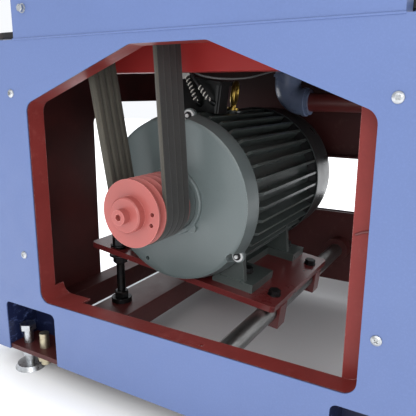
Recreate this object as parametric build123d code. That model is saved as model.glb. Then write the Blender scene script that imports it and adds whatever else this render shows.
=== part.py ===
from build123d import *
import math
import os

os.makedirs("parts", exist_ok=True)

# Dual-drum sander, modelled in millimetres.
# +Z is up, the boards feed along +Y, and the belt drive is on the +X side.
# The origin is on the floor, under the middle of the machine.

# ---------------------------------------------------------------- driving dimensions
machine_width = 880.0        # X, over both side walls
base_depth = 760.0           # Y, over the front and rear base walls
base_bottom = 38.0           # Z of the base frame's underside
deck_top = 540.0             # Z of the deck that closes the base
head_top = 1100.0            # Z of the top of both side towers
drum_axis_z = 950.0
drum_spacing = 331.0         # Y, between the two drum axes
drum_radius = 75.0
drum_half_length = 278.0

# sheet and frame
wall = 3.0
rail = 40.0
rail_wall = 3.0
bottom_rail_height = 41.0
top_rail_bottom = 519.0
cross_bar_x = (280.0, 316.0)     # the bars under the deck, beside each wall
belt_bar_bottom = 497.0          # Z under the cross bar beside the belts
fit = 0.05                   # radial clearance of a shaft in its hole
body_gap = 0.3               # least space between pieces that move apart

# partition behind the motor, and the deck's slot for the belts
partition_x = (-166.0, -160.0)
partition_gap_z = (204.0, 330.0)
partition_gap_half = 330.0
belt_zone_x = (318.0, 394.0)

# drive-side access opening
opening_half = 247.5
opening_bottom = 143.0
opening_shoulder = 450.0
opening_top = 526.0
opening_top_half = 55.0
opening_corner = 17.0
flange_depth = 32.0
flange_tab_depth = 50.0
flange_tab_length = 58.0
flange_return = 24.0
flange_hole = (426.8, 42.5)  # X and Y of the drain hole in the lip's bottom run
flange_hole_r = 3.0
cover_screw_y = (-277.5, 264.0)
cover_screw_z = (216.0, 465.0)
cover_screw_r = 3.0
cover_screw_head_r = 6.2

# front and rear base openings
end_opening_half = 162.0
end_opening_bottom = 56.0
end_opening_shoulder = 415.0
end_opening_top = 447.0
end_opening_top_half = 82.0

# foot pockets and levelling feet
pocket_outer_y = 333.0
pocket_inner_y = 220.0
pocket_top = 126.0
pocket_depth = 62.0
pocket_sheet = 2.0
pocket_corner = 9.0
foot_plate = 8.0
foot_inset = 24.0            # from the side wall's face to the foot screws
foot_y = 313.0
anchor_y = 274.0
m16_r = 8.0
m16_flats = 24.0
m16_nut = 13.0
foot_screw_top = 80.0
anchor_stud_top = 72.0

# motor, frame size 132M, foot mounted
motor_axis_y = -88.5
motor_axis_z = 300.0
motor_tilt = -7.3            # degrees about +X, the way the adjusted plate leans
bell_face_x = 300.0
bell_face_r = 125.3
bell_r = 137.5
bell_length = 30.0
fin_r = 137.0
core_r = 119.0
fin_count = 38
fin_thickness = 4.2
stator_back_x = -8.0
cowl_back_x = -108.0
cowl_r = 137.7
cowl_wall = 2.0
foot_base_drop = 132.0       # shaft height
foot_top_drop = 118.0
foot_half_width = 140.0
foot_hole_u = 108.0
foot_hole_x = (211.0, 33.0)
foot_front_x = 256.0
foot_back_x = 17.0
foot_bolt_r = 5.0
lug_r = 134.0
lug_angles = (90.0, -30.0, 210.0)
bell_bolt_r = 4.0
shaft_r = 19.0
journal_r = 24.0
rear_shield = 12.0
rotor_r = 78.0
eye_bolt_x = 131.0
terminal_x = (188.0, 226.0)
terminal_u = (-76.0, 20.0)
terminal_height = 46.0
cap_outer_r = 55.5
cap_inner_r = 45.5

# motor plate on its hinge rod
plate_thickness = 10.0
plate_half = 188.0
plate_x = (275.0, 9.0)
rod_r = 15.0
rod_boss_r = 20.4
rod_y = 59.5
rod_z = 122.0
rod_x = (-195.0, 436.0)
hinge_block_x = (231.0, 57.0)
hinge_block_width = 40.0
hinge_block_height = 40.0
hinge_block_length = 30.0
tension_x = 257.0
tension_y = -237.8
tension_hole_r = 12.5
crossmember_y = (-267.5, -186.5)
crossmember_top = 79.0
nut_gap = 2.9                # the level nuts' washers clear the leaning plate by this much
washer_r = 17.0

# V-belt drive
belt_count = 4
belt_pitch = 15.0
belt_top_width = 13.0
belt_thickness = 8.0
groove_depth = 11.0
groove_half_angle = 18.0
pulley_front_x = 405.3
pulley_grooves = 5
motor_pulley_r = 50.0
drum_pulley_r = 88.0
hub_r = 26.0
hub_stand = 14.0

# drum shafts and their flange bearings
drum_shaft_r = 20.0
drum_tube_wall = 8.0
wrap_thickness = 1.0
bearing_flange = 96.0
bearing_boss_r = 38.0
bearing_length = 28.0
link_pulley_r = 58.0
link_pulley_x = (-327.0, -367.0)
link_belt_thickness = 4.0

# spring-loaded rollers that hold the board down between the drums
pressure_roller_y = (-48.0, 48.0)
pressure_roller_r = 22.0
pressure_shaft_r = 8.0

# side towers
tower_half_depth = 264.0
tower_inner_x = 292.0
tower_plate = 6.0

# feed table
table_surface = 848.0
feed_belt_half = 275.0
feed_belt_thickness = 3.0
feed_roller_r = 30.0
feed_roller_y = 400.0
table_plate_x = 277.0
table_plate_thickness = 6.0
bed_half_length = 355.0
arm_y = 335.0
arm_x = 355.0
roller_shaft_r = 10.0
gear_motor_end_x = 352.0

# lift screws
screw_r = 10.0
screw_top = 856.0
sprocket_r = 40.0
chain_half_width = 4.0
chain_bottom = 548.0
chain_height = 9.0
nut_boss_r = 18.0

# hood
hood_half_x = 283.0
hood_half_y = 262.0
hood_bottom = 905.0
hood_top = 1165.0
hood_sheet = 2.0
dust_port_r = 62.5
dust_port_height = 60.0
dust_port_x = 140.0
hood_rear_z = 1128.0
hood_front_z = 1060.0
hood_side_bottom = 1036.0
hood_knuckle_r = 5.0

# controls
control_x = (306.0, 426.0)
control_z = (930.0, 1080.0)
control_depth = 62.0
stop_z = 1036.0
knob_z = 968.0

# conduit from the deck to the rear wall
conduit_x = -30.0
conduit_y = -30.5
conduit_z = 450.0
conduit_bend = 35.0
conduit_r = 26.0
pipe_r = 18.0

side_x = machine_width / 2
base_y = base_depth / 2
frame_inner_x = side_x - wall
frame_inner_y = base_y - wall
bell_back_x = bell_face_x - bell_length
front_drum_y = -drum_spacing / 2
rear_drum_y = drum_spacing / 2
pressure_axis_z = drum_axis_z - drum_radius - wrap_thickness - 1.5 + pressure_roller_r
roller_axis_z = table_surface - feed_belt_thickness - feed_roller_r
arm_z = (roller_axis_z - 25, roller_axis_z + 15)
gear_motor_x = (table_plate_x + table_plate_thickness + 1, gear_motor_end_x)
control_mid_x = sum(control_x) / 2
control_front = -tower_half_depth - control_depth
motor_place = Pos(0, motor_axis_y, motor_axis_z) * Rot(motor_tilt, 0, 0)


# ---------------------------------------------------------------- helpers
def block(x, y, z):
    """A box between the limits given as (low, high) pairs, in either order."""
    size = [abs(b - a) for a, b in (x, y, z)]
    middle = [(a + b) / 2 for a, b in (x, y, z)]
    return Pos(*middle) * Box(*size)


def rod_along_x(radius, x, y=0.0, z=0.0):
    return Pos((x[0] + x[1]) / 2, y, z) * Rot(0, 90, 0) * Cylinder(radius, abs(x[1] - x[0]))


def rod_along_y(radius, y, x=0.0, z=0.0):
    return Pos(x, (y[0] + y[1]) / 2, z) * Rot(90, 0, 0) * Cylinder(radius, abs(y[1] - y[0]))


def rod_along_z(radius, z, x=0.0, y=0.0):
    return Pos(x, y, (z[0] + z[1]) / 2) * Cylinder(radius, abs(z[1] - z[0]))


def hexagon_along_z(flats, z, x=0.0, y=0.0):
    shape = RegularPolygon(flats / 2, 6, major_radius=False)
    return Pos(x, y, min(z)) * extrude(shape, abs(z[1] - z[0]))


def turned_along_x(points, y=0.0, z=0.0):
    """A solid turned about the X direction from (x, radius) points."""
    profile = make_face(Polyline(*[(x, r) for x, r in points], close=True))
    return Pos(0, y, z) * revolve(profile, Axis.X)


def wall_along_x(face, x):
    """A face drawn with Y across and Z up, thickened between two X values."""
    return Pos(min(x), 0, 0) * extrude(Plane.YZ * face, abs(x[1] - x[0]))


def wall_along_y(face, y):
    """A face drawn with X across and Z up, thickened between two Y values."""
    return Pos(0, max(y), 0) * extrude(Plane.XZ * face, abs(y[1] - y[0]))


def rectangle(a, b):
    """A face between the corners' limits a = (low, high) across and b = (low, high) up."""
    return Pos((a[0] + a[1]) / 2, (b[0] + b[1]) / 2) * Rectangle(abs(a[1] - a[0]), abs(b[1] - b[0]))


def write(name, shape):
    solids = shape.solids() if hasattr(shape, "solids") else list(shape)
    whole = solids[0] if len(solids) == 1 else Compound(children=list(solids))
    whole.label = name
    export_step(whole, f"parts/{name}.step")


def both_ways(values):
    return [sign * value for value in values for sign in (-1, 1)]


# ---------------------------------------------------------------- openings
def opening_face(half, bottom, shoulder, top, top_half, corner, shrink=0.0):
    outline = Polygon(
        (-half, bottom), (half, bottom), (half, shoulder),
        (top_half, top), (-top_half, top), (-half, shoulder), align=None)
    outline = fillet(outline.vertices(), corner)
    return offset(outline, -shrink) if shrink else outline


def side_opening(shrink=0.0):
    return opening_face(opening_half, opening_bottom, opening_shoulder,
                        opening_top, opening_top_half, opening_corner, shrink)


def end_opening(shrink=0.0):
    return opening_face(end_opening_half, end_opening_bottom, end_opening_shoulder,
                        end_opening_top, end_opening_top_half, opening_corner, shrink)


# ---------------------------------------------------------------- base walls
def pocket_face(side, shrink=0.0):
    low = base_bottom - 10
    face = rectangle((pocket_inner_y + shrink, pocket_outer_y - shrink), (low, pocket_top - shrink))
    upper = face.vertices().group_by(Axis.Y)[-1]
    face = fillet(upper, pocket_corner - shrink)
    return face if side > 0 else mirror(face, Plane.YZ)


def side_panel(sign):
    """One side wall of the base, with its access opening and its two foot pockets."""
    sheet = rectangle((-base_y, base_y), (base_bottom, deck_top)) - side_opening()
    for side in (-1, 1):
        sheet -= pocket_face(side)
    panel = wall_along_x(sheet, (side_x - wall, side_x))
    inner_x = side_x - pocket_depth
    for side in (-1, 1):
        shell = wall_along_x(pocket_face(side, -pocket_sheet), (inner_x, side_x - wall))
        hollow = wall_along_x(pocket_face(side), (inner_x + pocket_sheet, side_x))
        shell &= block((inner_x, side_x), (-base_y, base_y), (base_bottom + foot_plate, deck_top))
        panel += shell - hollow
    for y in cover_screw_y:
        for z in cover_screw_z:
            panel -= rod_along_x(cover_screw_r + fit, (side_x - 9, side_x + 1), y, z)
    return panel if sign > 0 else mirror(panel, Plane.YZ)


def end_panel(sign):
    """The front or rear wall of the base, between the two side walls."""
    half = side_x - wall
    sheet = rectangle((-half, half), (base_bottom, deck_top)) - end_opening()
    panel = wall_along_y(sheet, (base_y - wall, base_y))
    return panel if sign > 0 else mirror(panel, Plane.XZ)


def opening_flange():
    """The lip welded behind the drive-side opening, with its deeper corner tab and right return."""
    back = side_x - flange_depth
    ring_face = side_opening(-wall) - side_opening()
    ring = wall_along_x(ring_face, (back, side_x - wall))
    tab_face = ring_face & rectangle(
        (-opening_half - wall, -opening_half + flange_tab_length),
        (opening_bottom - wall, opening_bottom + opening_corner))
    tab = wall_along_x(tab_face, (side_x - flange_tab_depth, back))
    strip_face = (side_opening(-wall) - side_opening(flange_return)) & rectangle(
        (opening_half - flange_return, opening_half + wall),
        (opening_bottom - wall, opening_shoulder + 6.0))
    strip = wall_along_x(strip_face, (back - wall, back))
    lip_hole = rod_along_z(flange_hole_r, (opening_bottom - 2 * wall, opening_bottom + wall), *flange_hole)
    return ring + tab + strip - lip_hole


def cover_screws():
    """Round-head machine screws left in the access cover's holes."""
    screws = []
    for y in cover_screw_y:
        for z in cover_screw_z:
            screw = turned_along_x([
                (side_x - 8.0, 0.0), (side_x - 8.0, cover_screw_r), (side_x, cover_screw_r),
                (side_x, cover_screw_head_r), (side_x + 1.2, cover_screw_head_r - 0.4),
                (side_x + 2.6, cover_screw_head_r - 2.6), (side_x + 3.0, 0.0)], y, z)
            for turn in (0, 90):
                recess = Pos(side_x + 3.0, y, z) * Rot(45 + turn, 0, 0) * Box(3.2, 5.4, 1.2)
                screw -= recess
            screws.append(screw)
    return Compound(children=screws)


# ---------------------------------------------------------------- base frame
def tube_along_z(x, y, z):
    return block(x, y, z) - block(
        (min(x) + rail_wall, max(x) - rail_wall), (min(y) + rail_wall, max(y) - rail_wall), z)


def bottom_channel(length, x_mid, y_mid, along_y):
    """An upside-down U channel on the base's underside."""
    z = (base_bottom, base_bottom + bottom_rail_height)
    inner_z = (base_bottom, base_bottom + bottom_rail_height - rail_wall)
    outer = ((x_mid - rail / 2, x_mid + rail / 2), (y_mid - length / 2, y_mid + length / 2))
    inner = ((x_mid - rail / 2 + rail_wall, x_mid + rail / 2 - rail_wall), outer[1])
    if not along_y:
        outer = ((x_mid - length / 2, x_mid + length / 2), (y_mid - rail / 2, y_mid + rail / 2))
        inner = (outer[0], (y_mid - rail / 2 + rail_wall, y_mid + rail / 2 - rail_wall))
    return block(*outer, z) - block(*inner, inner_z)


def belt_slot_y(z):
    """The Y limits of the V-belts at a height, with room to run."""
    rise = (z - motor_axis_z) / (drum_axis_z - motor_axis_z)
    middle = motor_axis_y + (front_drum_y - motor_axis_y) * rise
    half = motor_pulley_r + (drum_pulley_r - motor_pulley_r) * rise
    return (middle - half - 14, middle + half + 14)


def base_frame():
    post_x = (frame_inner_x - rail, frame_inner_x)
    post_y = (frame_inner_y - rail, frame_inner_y)
    frame = None
    for sx in (-1, 1):
        for sy in (-1, 1):
            x = tuple(sx * v for v in post_x)
            y = tuple(sy * v for v in post_y)
            post = tube_along_z(x, y, (base_bottom, deck_top - wall))
            frame = post if frame is None else frame + post
            pad_x = tuple(sx * v for v in (side_x - pocket_depth, frame_inner_x))
            pad_y = tuple(sy * v for v in (pocket_inner_y - 20, frame_inner_y))
            pad = block(pad_x, pad_y, (base_bottom, base_bottom + foot_plate))
            for y_hole in (foot_y, anchor_y):
                pad -= rod_along_z(m16_r + fit, (0, 200), sx * (side_x - foot_inset), sy * y_hole)
            frame += pad
    side_length = 2 * (pocket_inner_y - 2)
    end_length = 2 * (frame_inner_x - rail)
    for sign in (-1, 1):
        frame += bottom_channel(side_length, sign * (frame_inner_x - rail / 2), 0, True)
        frame += bottom_channel(end_length, 0, sign * (frame_inner_y - rail / 2), False)
        end_rail_y = (sign * frame_inner_y, sign * (frame_inner_y - rail))
        frame += block((-end_length / 2, end_length / 2), end_rail_y, (top_rail_bottom, deck_top - wall))
        bar_x = tuple(sign * v for v in cross_bar_x)
        bar_bottom = belt_bar_bottom if sign > 0 else top_rail_bottom
        frame += block(bar_x, (-frame_inner_y + rail, frame_inner_y - rail), (bar_bottom, deck_top - wall))
    web = block(partition_x, (-frame_inner_y, frame_inner_y), (base_bottom + 3, deck_top - wall))
    web -= block((-200, -100), (-partition_gap_half, partition_gap_half), partition_gap_z)
    frame += web
    frame += block((partition_x[1], partition_x[1] + 22), (-frame_inner_y, frame_inner_y),
                   (partition_gap_z[1], partition_gap_z[1] + 4))
    deck = block((-frame_inner_x, frame_inner_x), (-frame_inner_y, frame_inner_y),
                 (deck_top - wall, deck_top))
    deck -= block(belt_zone_x, belt_slot_y(deck_top), (deck_top - 20, deck_top + 5))
    for x in both_ways((arm_x,)):
        for y in both_ways((arm_y,)):
            frame += rod_along_z(24.0, (deck_top - 14, deck_top - wall), x, y)
            deck -= rod_along_z(screw_r + fit, (500, 600), x, y)
            frame -= rod_along_z(screw_r + fit, (500, 600), x, y)
    frame += deck
    near_boss_x = (side_x - flange_depth, frame_inner_x)
    frame += rod_along_x(rod_boss_r, near_boss_x, rod_y, rod_z)
    frame += block(near_boss_x, (rod_y - rod_boss_r, rod_y + rod_boss_r),
                   (base_bottom + bottom_rail_height, rod_z))
    frame += rod_along_x(rod_boss_r + 6, (partition_x[1], partition_x[1] + 30), rod_y, rod_z)
    frame -= rod_along_x(rod_r + fit, rod_x, rod_y, rod_z)
    frame -= block(near_boss_x, (rod_y - 2 * rod_boss_r, rod_y + 2 * rod_boss_r),
                   (opening_bottom - wall - 0.2, opening_bottom + rod_boss_r))
    return frame


def motor_crossmember():
    x = (partition_x[1], side_x - pocket_depth)
    low, high = crossmember_y
    channel = block(x, (low, high), (base_bottom, crossmember_top))
    channel -= block(x, (low + 4, high - 4), (base_bottom, crossmember_top - 4))
    channel -= rod_along_z(m16_r + fit, (0, 200), tension_x, tension_y)
    return channel


def levelling_feet():
    feet = []
    for x in both_ways((side_x - foot_inset,)):
        for y in both_ways((foot_y,)):
            foot = rod_along_z(m16_r, (6, foot_screw_top - 10), x, y)
            foot += hexagon_along_z(m16_flats, (foot_screw_top - 10, foot_screw_top), x, y)
            foot += hexagon_along_z(m16_flats, (base_bottom - m16_nut - 0.2, base_bottom - 0.2), x, y)
            foot += Pos(x, y, 0) * Cone(26, 22, 8, align=(Align.CENTER, Align.CENTER, Align.MIN))
            feet.append(foot)
    return Compound(children=feet)


def anchor_studs():
    studs = []
    for x in both_ways((side_x - foot_inset,)):
        for y in both_ways((anchor_y,)):
            studs.append(rod_along_z(m16_r, (16, anchor_stud_top), x, y)
                         + hexagon_along_z(m16_flats, (base_bottom - m16_nut - 0.2, base_bottom - 0.2), x, y))
    return Compound(children=studs)


# ---------------------------------------------------------------- motor mounting
def hinge_in_motor_frame():
    """The hinge rod's centre in the motor's own tilted frame, as (across, up)."""
    angle = math.radians(-motor_tilt)
    y = rod_y - motor_axis_y
    z = rod_z - motor_axis_z
    return (y * math.cos(angle) - z * math.sin(angle), y * math.sin(angle) + z * math.cos(angle))


def tension_in_motor_frame():
    """Where the tension screw crosses the plate's middle, as (across, up)."""
    angle = math.radians(-motor_tilt)
    up = -foot_base_drop - plate_thickness / 2
    across = ((tension_y - motor_axis_y) - up * math.sin(angle)) / math.cos(angle)
    return across, up


plate_top_w = -foot_base_drop
plate_bottom_w = plate_top_w - plate_thickness
hinge_u, hinge_w = hinge_in_motor_frame()
tension_u, tension_w = tension_in_motor_frame()


def motor_plate():
    plate = block(plate_x, (-plate_half, plate_half), (plate_bottom_w, plate_top_w))
    corners = plate.edges().filter_by(Axis.Z)
    plate = fillet(corners, 8.0)
    plate -= rod_along_z(tension_hole_r, (-200, -100), tension_x, tension_u)
    for x in foot_hole_x:
        for u in both_ways((foot_hole_u,)):
            plate -= rod_along_z(foot_bolt_r + fit, (-200, -100), x, u)
    for x in hinge_block_x:
        plate -= rod_along_z(foot_bolt_r + fit, (-200, -100), x, hinge_u)
    return motor_place * plate


def hinge_blocks():
    blocks = []
    for x in hinge_block_x:
        body = block((x - hinge_block_length / 2, x + hinge_block_length / 2),
                     (hinge_u - hinge_block_width / 2, hinge_u + hinge_block_width / 2),
                     (plate_bottom_w - hinge_block_height, plate_bottom_w))
        body -= rod_along_x(rod_r + fit, (0, 300), hinge_u, hinge_w)
        blocks.append(motor_place * body)
    return Compound(children=blocks)


def clamp_screws():
    screws = []
    for x in hinge_block_x:
        screw = hexagon_along_z(17.0, (plate_top_w + 2, plate_top_w + 9), x, hinge_u)
        screw += rod_along_z(11.0, (plate_top_w, plate_top_w + 2), x, hinge_u)
        screw += rod_along_z(foot_bolt_r, (plate_bottom_w, plate_top_w), x, hinge_u)
        screws.append(motor_place * screw)
    return Compound(children=screws)


def foot_bolts():
    bolts = []
    for x in foot_hole_x:
        for u in both_ways((foot_hole_u,)):
            top = -foot_top_drop
            bolt = rod_along_z(foot_bolt_r, (plate_bottom_w - 9, top + 2), x, u)
            bolt += rod_along_z(11.0, (top, top + 2), x, u)
            bolt += hexagon_along_z(17.0, (top + 2, top + 9), x, u)
            bolt += hexagon_along_z(17.0, (plate_bottom_w - 9, plate_bottom_w), x, u)
            bolts.append(motor_place * bolt)
    return Compound(children=bolts)


plate_crossing_z = motor_axis_z + (
    tension_u * math.sin(math.radians(motor_tilt)) + tension_w * math.cos(math.radians(motor_tilt)))
plate_half_rise = plate_thickness / 2 / math.cos(math.radians(motor_tilt))
upper_nut_z = plate_crossing_z + plate_half_rise + nut_gap
lower_nut_z = plate_crossing_z - plate_half_rise - nut_gap


def tension_screw():
    screw = rod_along_z(m16_r, (base_bottom + 12, upper_nut_z + 38), tension_x, tension_y)
    screw += rod_along_z(19.0, (crossmember_top, crossmember_top + 9), tension_x, tension_y)
    screw += hexagon_along_z(m16_flats, (crossmember_top + 9, crossmember_top + 9 + m16_nut),
                             tension_x, tension_y)
    return screw


def tension_nuts():
    upper = rod_along_z(washer_r, (upper_nut_z, upper_nut_z + 3), tension_x, tension_y)
    upper += hexagon_along_z(m16_flats, (upper_nut_z + 3, upper_nut_z + 16), tension_x, tension_y)
    upper += hexagon_along_z(m16_flats, (upper_nut_z + 16.5, upper_nut_z + 24.5), tension_x, tension_y)
    lower = rod_along_z(washer_r + 3, (lower_nut_z - 3, lower_nut_z), tension_x, tension_y)
    lower += hexagon_along_z(m16_flats, (lower_nut_z - 16, lower_nut_z - 3), tension_x, tension_y)
    bore = rod_along_z(m16_r + fit, (0, 400), tension_x, tension_y)
    return Compound(children=[s for part in (upper - bore, lower - bore) for s in part.solids()])


# ---------------------------------------------------------------- motor


def motor_housing():
    stator_x = (stator_back_x, bell_back_x)
    body = rod_along_x(core_r, stator_x)
    for i in range(fin_count):
        angle = 360.0 * (i + 0.5) / fin_count
        fin = block(stator_x, (core_r - 2, fin_r), (-fin_thickness / 2, fin_thickness / 2))
        body += Rot(angle, 0, 0) * fin
    ends = turned_along_x([
        (bell_back_x, 0.0), (bell_back_x, core_r + 3), (bell_back_x - 22, fin_r),
        (stator_back_x + 6, fin_r), (stator_back_x, fin_r - 4), (stator_back_x, 0.0)])
    body &= ends
    body -= block(stator_x, (-200, 200), (-200, plate_top_w + 3))
    feet = None
    for side in (-1, 1):
        for x, web_x in (((foot_front_x - 84, foot_front_x), (foot_front_x - 12, foot_front_x - 2)),
                         ((foot_back_x, foot_back_x + 56), (foot_back_x + 40, foot_back_x + 50))):
            pad = block(x, (side * 66, side * foot_half_width), (-foot_base_drop, -foot_top_drop))
            web = wall_along_x(Polygon((side * 66, -foot_top_drop), (side * 124, -foot_top_drop),
                                       (side * 112, -62), (side * 66, -62), align=None), web_x)
            feet = pad + web if feet is None else feet + pad + web
        runner = block((foot_back_x, foot_front_x), (side * 66, side * 88), (-foot_base_drop, -foot_top_drop))
        wall_face = block((foot_back_x, foot_front_x), (side * 66, side * 76), (-foot_top_drop, -88))
        feet += runner + wall_face
    body += feet
    body -= rod_along_x(rotor_r + 22, (stator_back_x + rear_shield, bell_back_x))
    body -= rod_along_x(journal_r + fit, (stator_back_x - 1, bell_back_x))
    for x in foot_hole_x:
        for u in both_ways((foot_hole_u,)):
            body -= rod_along_z(foot_bolt_r + fit, (-200, -100), x, u)
    body += rod_along_z(17.0, (rotor_r + 30, fin_r + 2), eye_bolt_x)
    body -= rod_along_z(foot_bolt_r + fit, (125, 200), eye_bolt_x)
    body -= rod_along_z(washer_r + 7, (-foot_base_drop - 1, -60), tension_x, tension_u)
    return motor_place * body


def motor_front_bell():
    bell = turned_along_x([
        (bell_face_x, journal_r + fit), (bell_face_x, bell_face_r), (bell_face_x - 3, bell_face_r + 6),
        (bell_back_x + 8, bell_r - 1), (bell_back_x, bell_r), (bell_back_x, bell_r - 12),
        (bell_face_x - 8, bell_face_r - 8), (bell_face_x - 8, 62.0), (bell_back_x - 2, 62.0),
        (bell_back_x - 2, journal_r + fit)])
    for angle in lug_angles:
        lug = rod_along_x(11.0, (bell_back_x, bell_back_x + 7), lug_r, 0)
        lug += block((bell_back_x, bell_back_x + 7), (lug_r - 22, lug_r), (-11, 11))
        lug -= rod_along_x(rotor_r + 44, (bell_back_x - 5, bell_back_x + 20))
        bell += Rot(angle, 0, 0) * lug
    for angle in lug_angles:
        bell -= Rot(angle, 0, 0) * rod_along_x(bell_bolt_r + fit, (bell_back_x - 30, bell_face_x), lug_r, 0)
        bell -= Rot(angle, 0, 0) * rod_along_x(9.5, (bell_back_x + 7, bell_face_x + 5), lug_r, 0)
    bell -= block((bell_back_x - 10, bell_face_x + 5), (-200, 200), (-200, plate_top_w + 0.5))
    bell -= Rot(-109, 0, 0) * rod_along_x(4.0, (bell_face_x - 20, bell_face_x + 2), 118, 0)
    return motor_place * bell


def bearing_cap():
    """The outer bearing cover, with its raised rim and one small lug."""
    cap = turned_along_x([
        (bell_face_x, shaft_r + 1.5), (bell_face_x, cap_outer_r), (bell_face_x + 5.0, cap_outer_r - 0.5),
        (bell_face_x + 6.5, cap_outer_r - 2), (bell_face_x + 6.5, cap_inner_r + 3),
        (bell_face_x + 3.5, cap_inner_r), (bell_face_x + 3.5, shaft_r + 1.5)])
    cap += Rot(-38, 0, 0) * rod_along_x(7.0, (bell_face_x, bell_face_x + 5), cap_outer_r, 0)
    return motor_place * cap


def bell_bolts():
    bolts = []
    for angle in lug_angles:
        bolt = rod_along_x(bell_bolt_r, (bell_back_x - 22, bell_back_x + 9), lug_r, 0)
        bolt += rod_along_x(8.0, (bell_back_x + 7, bell_back_x + 8.5), lug_r, 0)
        head = Pos(bell_back_x + 8.5, lug_r, 0) * Rot(0, 90, 0) * extrude(
            RegularPolygon(6.5, 6, major_radius=False), 6.0)
        bolts.append(motor_place * Rot(angle, 0, 0) * (bolt + head))
    return Compound(children=bolts)


def housing_bolt_slots(housing):
    for angle in lug_angles:
        housing -= motor_place * Rot(angle, 0, 0) * rod_along_x(
            8.0, (bell_back_x - 23, bell_back_x + 1), lug_r, 0)
    return housing


def fan_cowl():
    x0, x1 = stator_back_x, cowl_back_x
    outer = [(x0 + 6, fin_r + 0.3), (x0 + 6, cowl_r + 1.6), (x0 - 2, cowl_r + 1.6), (x0 - 4, cowl_r),
             (x1 + 22, cowl_r - 1), (x1 + 6, cowl_r - 10), (x1, cowl_r - 30), (x1, 0.0)]
    inner = [(x1 + cowl_wall, 0.0), (x1 + cowl_wall, cowl_r - 31), (x1 + 8, cowl_r - 12),
             (x1 + 22, cowl_r - 1 - cowl_wall), (x0 - 4, cowl_r - cowl_wall), (x0 - 4, fin_r + 0.3)]
    cowl = turned_along_x(outer + inner)
    for ring, count in ((30.0, 6), (52.0, 10), (74.0, 14), (94.0, 18)):
        for i in range(count):
            cowl -= Rot(360.0 * i / count, 0, 0) * rod_along_x(6.0, (x1 - 3, x1 + 5), ring, 0)
    return motor_place * cowl


def eye_bolt():
    ring_z = fin_r + 31
    ring = Rot(0, 0, 17) * Pos(0, 0, ring_z) * Rot(90, 0, 0) * Torus(18.0, 4.4)
    shank = rod_along_z(foot_bolt_r, (126, ring_z - 17))
    collar = rod_along_z(10.0, (fin_r + 2, fin_r + 6))
    return motor_place * Pos(eye_bolt_x, 0, 0) * (ring + shank + collar)


def terminal_box():
    x, u, top = terminal_x, terminal_u, fin_r + terminal_height
    box = block(x, u, (fin_r + 1, top))
    box = fillet(box.edges().filter_by(Axis.Z), 7.0)
    lid = block((x[0] - 2, x[1] + 2), (u[0] - 2, u[1] + 2), (top + 0.1, top + 6))
    saddle = block((x[0] + 4, x[1] - 4), (u[0] + 4, u[1] - 4), (core_r - 6, fin_r + 2))
    saddle -= rod_along_x(fin_r + fit, (100, 300))
    return motor_place * Compound(children=[s for s in ((box + saddle).solids() + lid.solids())])


def motor_rotor():
    rotor = rod_along_x(shaft_r, (cowl_back_x + 14, bell_face_x + 80))
    rotor += rod_along_x(rotor_r, (30, 230))
    rotor += rod_along_x(journal_r, (stator_back_x - 4, bell_face_x - 2))
    return motor_place * rotor


def cooling_fan():
    fan_x = (cowl_back_x + 20, stator_back_x - 22)
    hub = rod_along_x(34.0, fan_x)
    disc = rod_along_x(112.0, (fan_x[1] - 3, fan_x[1]))
    fan = hub + disc
    for i in range(9):
        blade = block(fan_x, (30, 112), (-1.5, 1.5))
        fan += Rot(40.0 * i, 0, 0) * blade
    fan -= rod_along_x(shaft_r, (-300, 300))
    return motor_place * fan


# ---------------------------------------------------------------- pulleys and belts
def groove_centres():
    first = pulley_front_x - belt_pitch / 2 - 2.0
    return [first - belt_pitch * i for i in range(pulley_grooves)]


def grooved_rim(radius, bore):
    """A multi-groove V-belt pulley body as a turned profile."""
    half_top = belt_top_width / 2 + 0.15
    half_bottom = half_top - groove_depth * math.tan(math.radians(groove_half_angle))
    back = groove_centres()[-1] - belt_pitch / 2 - 2.0
    points = [(pulley_front_x, bore), (pulley_front_x, radius)]
    for x in groove_centres():
        points += [(x + half_top, radius), (x + half_bottom, radius - groove_depth),
                   (x - half_bottom, radius - groove_depth), (x - half_top, radius)]
    points += [(back, radius), (back, bore)]
    return points


def motor_pulley():
    pulley = turned_along_x(grooved_rim(motor_pulley_r, shaft_r))
    hub = turned_along_x([
        (pulley_front_x, 8.0), (pulley_front_x, hub_r), (pulley_front_x + hub_stand - 2, hub_r),
        (pulley_front_x + hub_stand, hub_r - 2), (pulley_front_x + hub_stand, 8.0)])
    pulley += hub
    pulley += turned_along_x([
        (bell_face_x + 80, 8.0), (bell_face_x + 80, 30), (pulley_front_x, 30), (pulley_front_x, 8.0)])
    for angle in (-12, 12):
        pulley -= Rot(angle, 0, 0) * rod_along_x(3.2, (pulley_front_x - 12, pulley_front_x + 2), 38, 0)
    return motor_place * pulley


def pulley_screw():
    start = bell_face_x + 80.2
    front = pulley_front_x + hub_stand
    screw = rod_along_x(7.9, (start, front))
    screw += rod_along_x(11.0, (front, front + 13))
    socket = Pos(front + 6, 0, 0) * Rot(0, 90, 0) * extrude(RegularPolygon(4.5, 6, major_radius=False), 8)
    return motor_place * (screw - socket)


def drum_pulley():
    web_front = pulley_front_x
    rim = turned_along_x(grooved_rim(drum_pulley_r, drum_pulley_r - 20))
    back = groove_centres()[-1] - belt_pitch / 2 - 2.0
    hub = rod_along_x(36.0, (back, web_front))
    hub += rod_along_x(drum_pulley_r - 18, (web_front - 34, web_front - 22))
    pulley = rim + hub - rod_along_x(drum_shaft_r, (200, 500))
    return Pos(0, front_drum_y, drum_axis_z) * pulley


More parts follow.
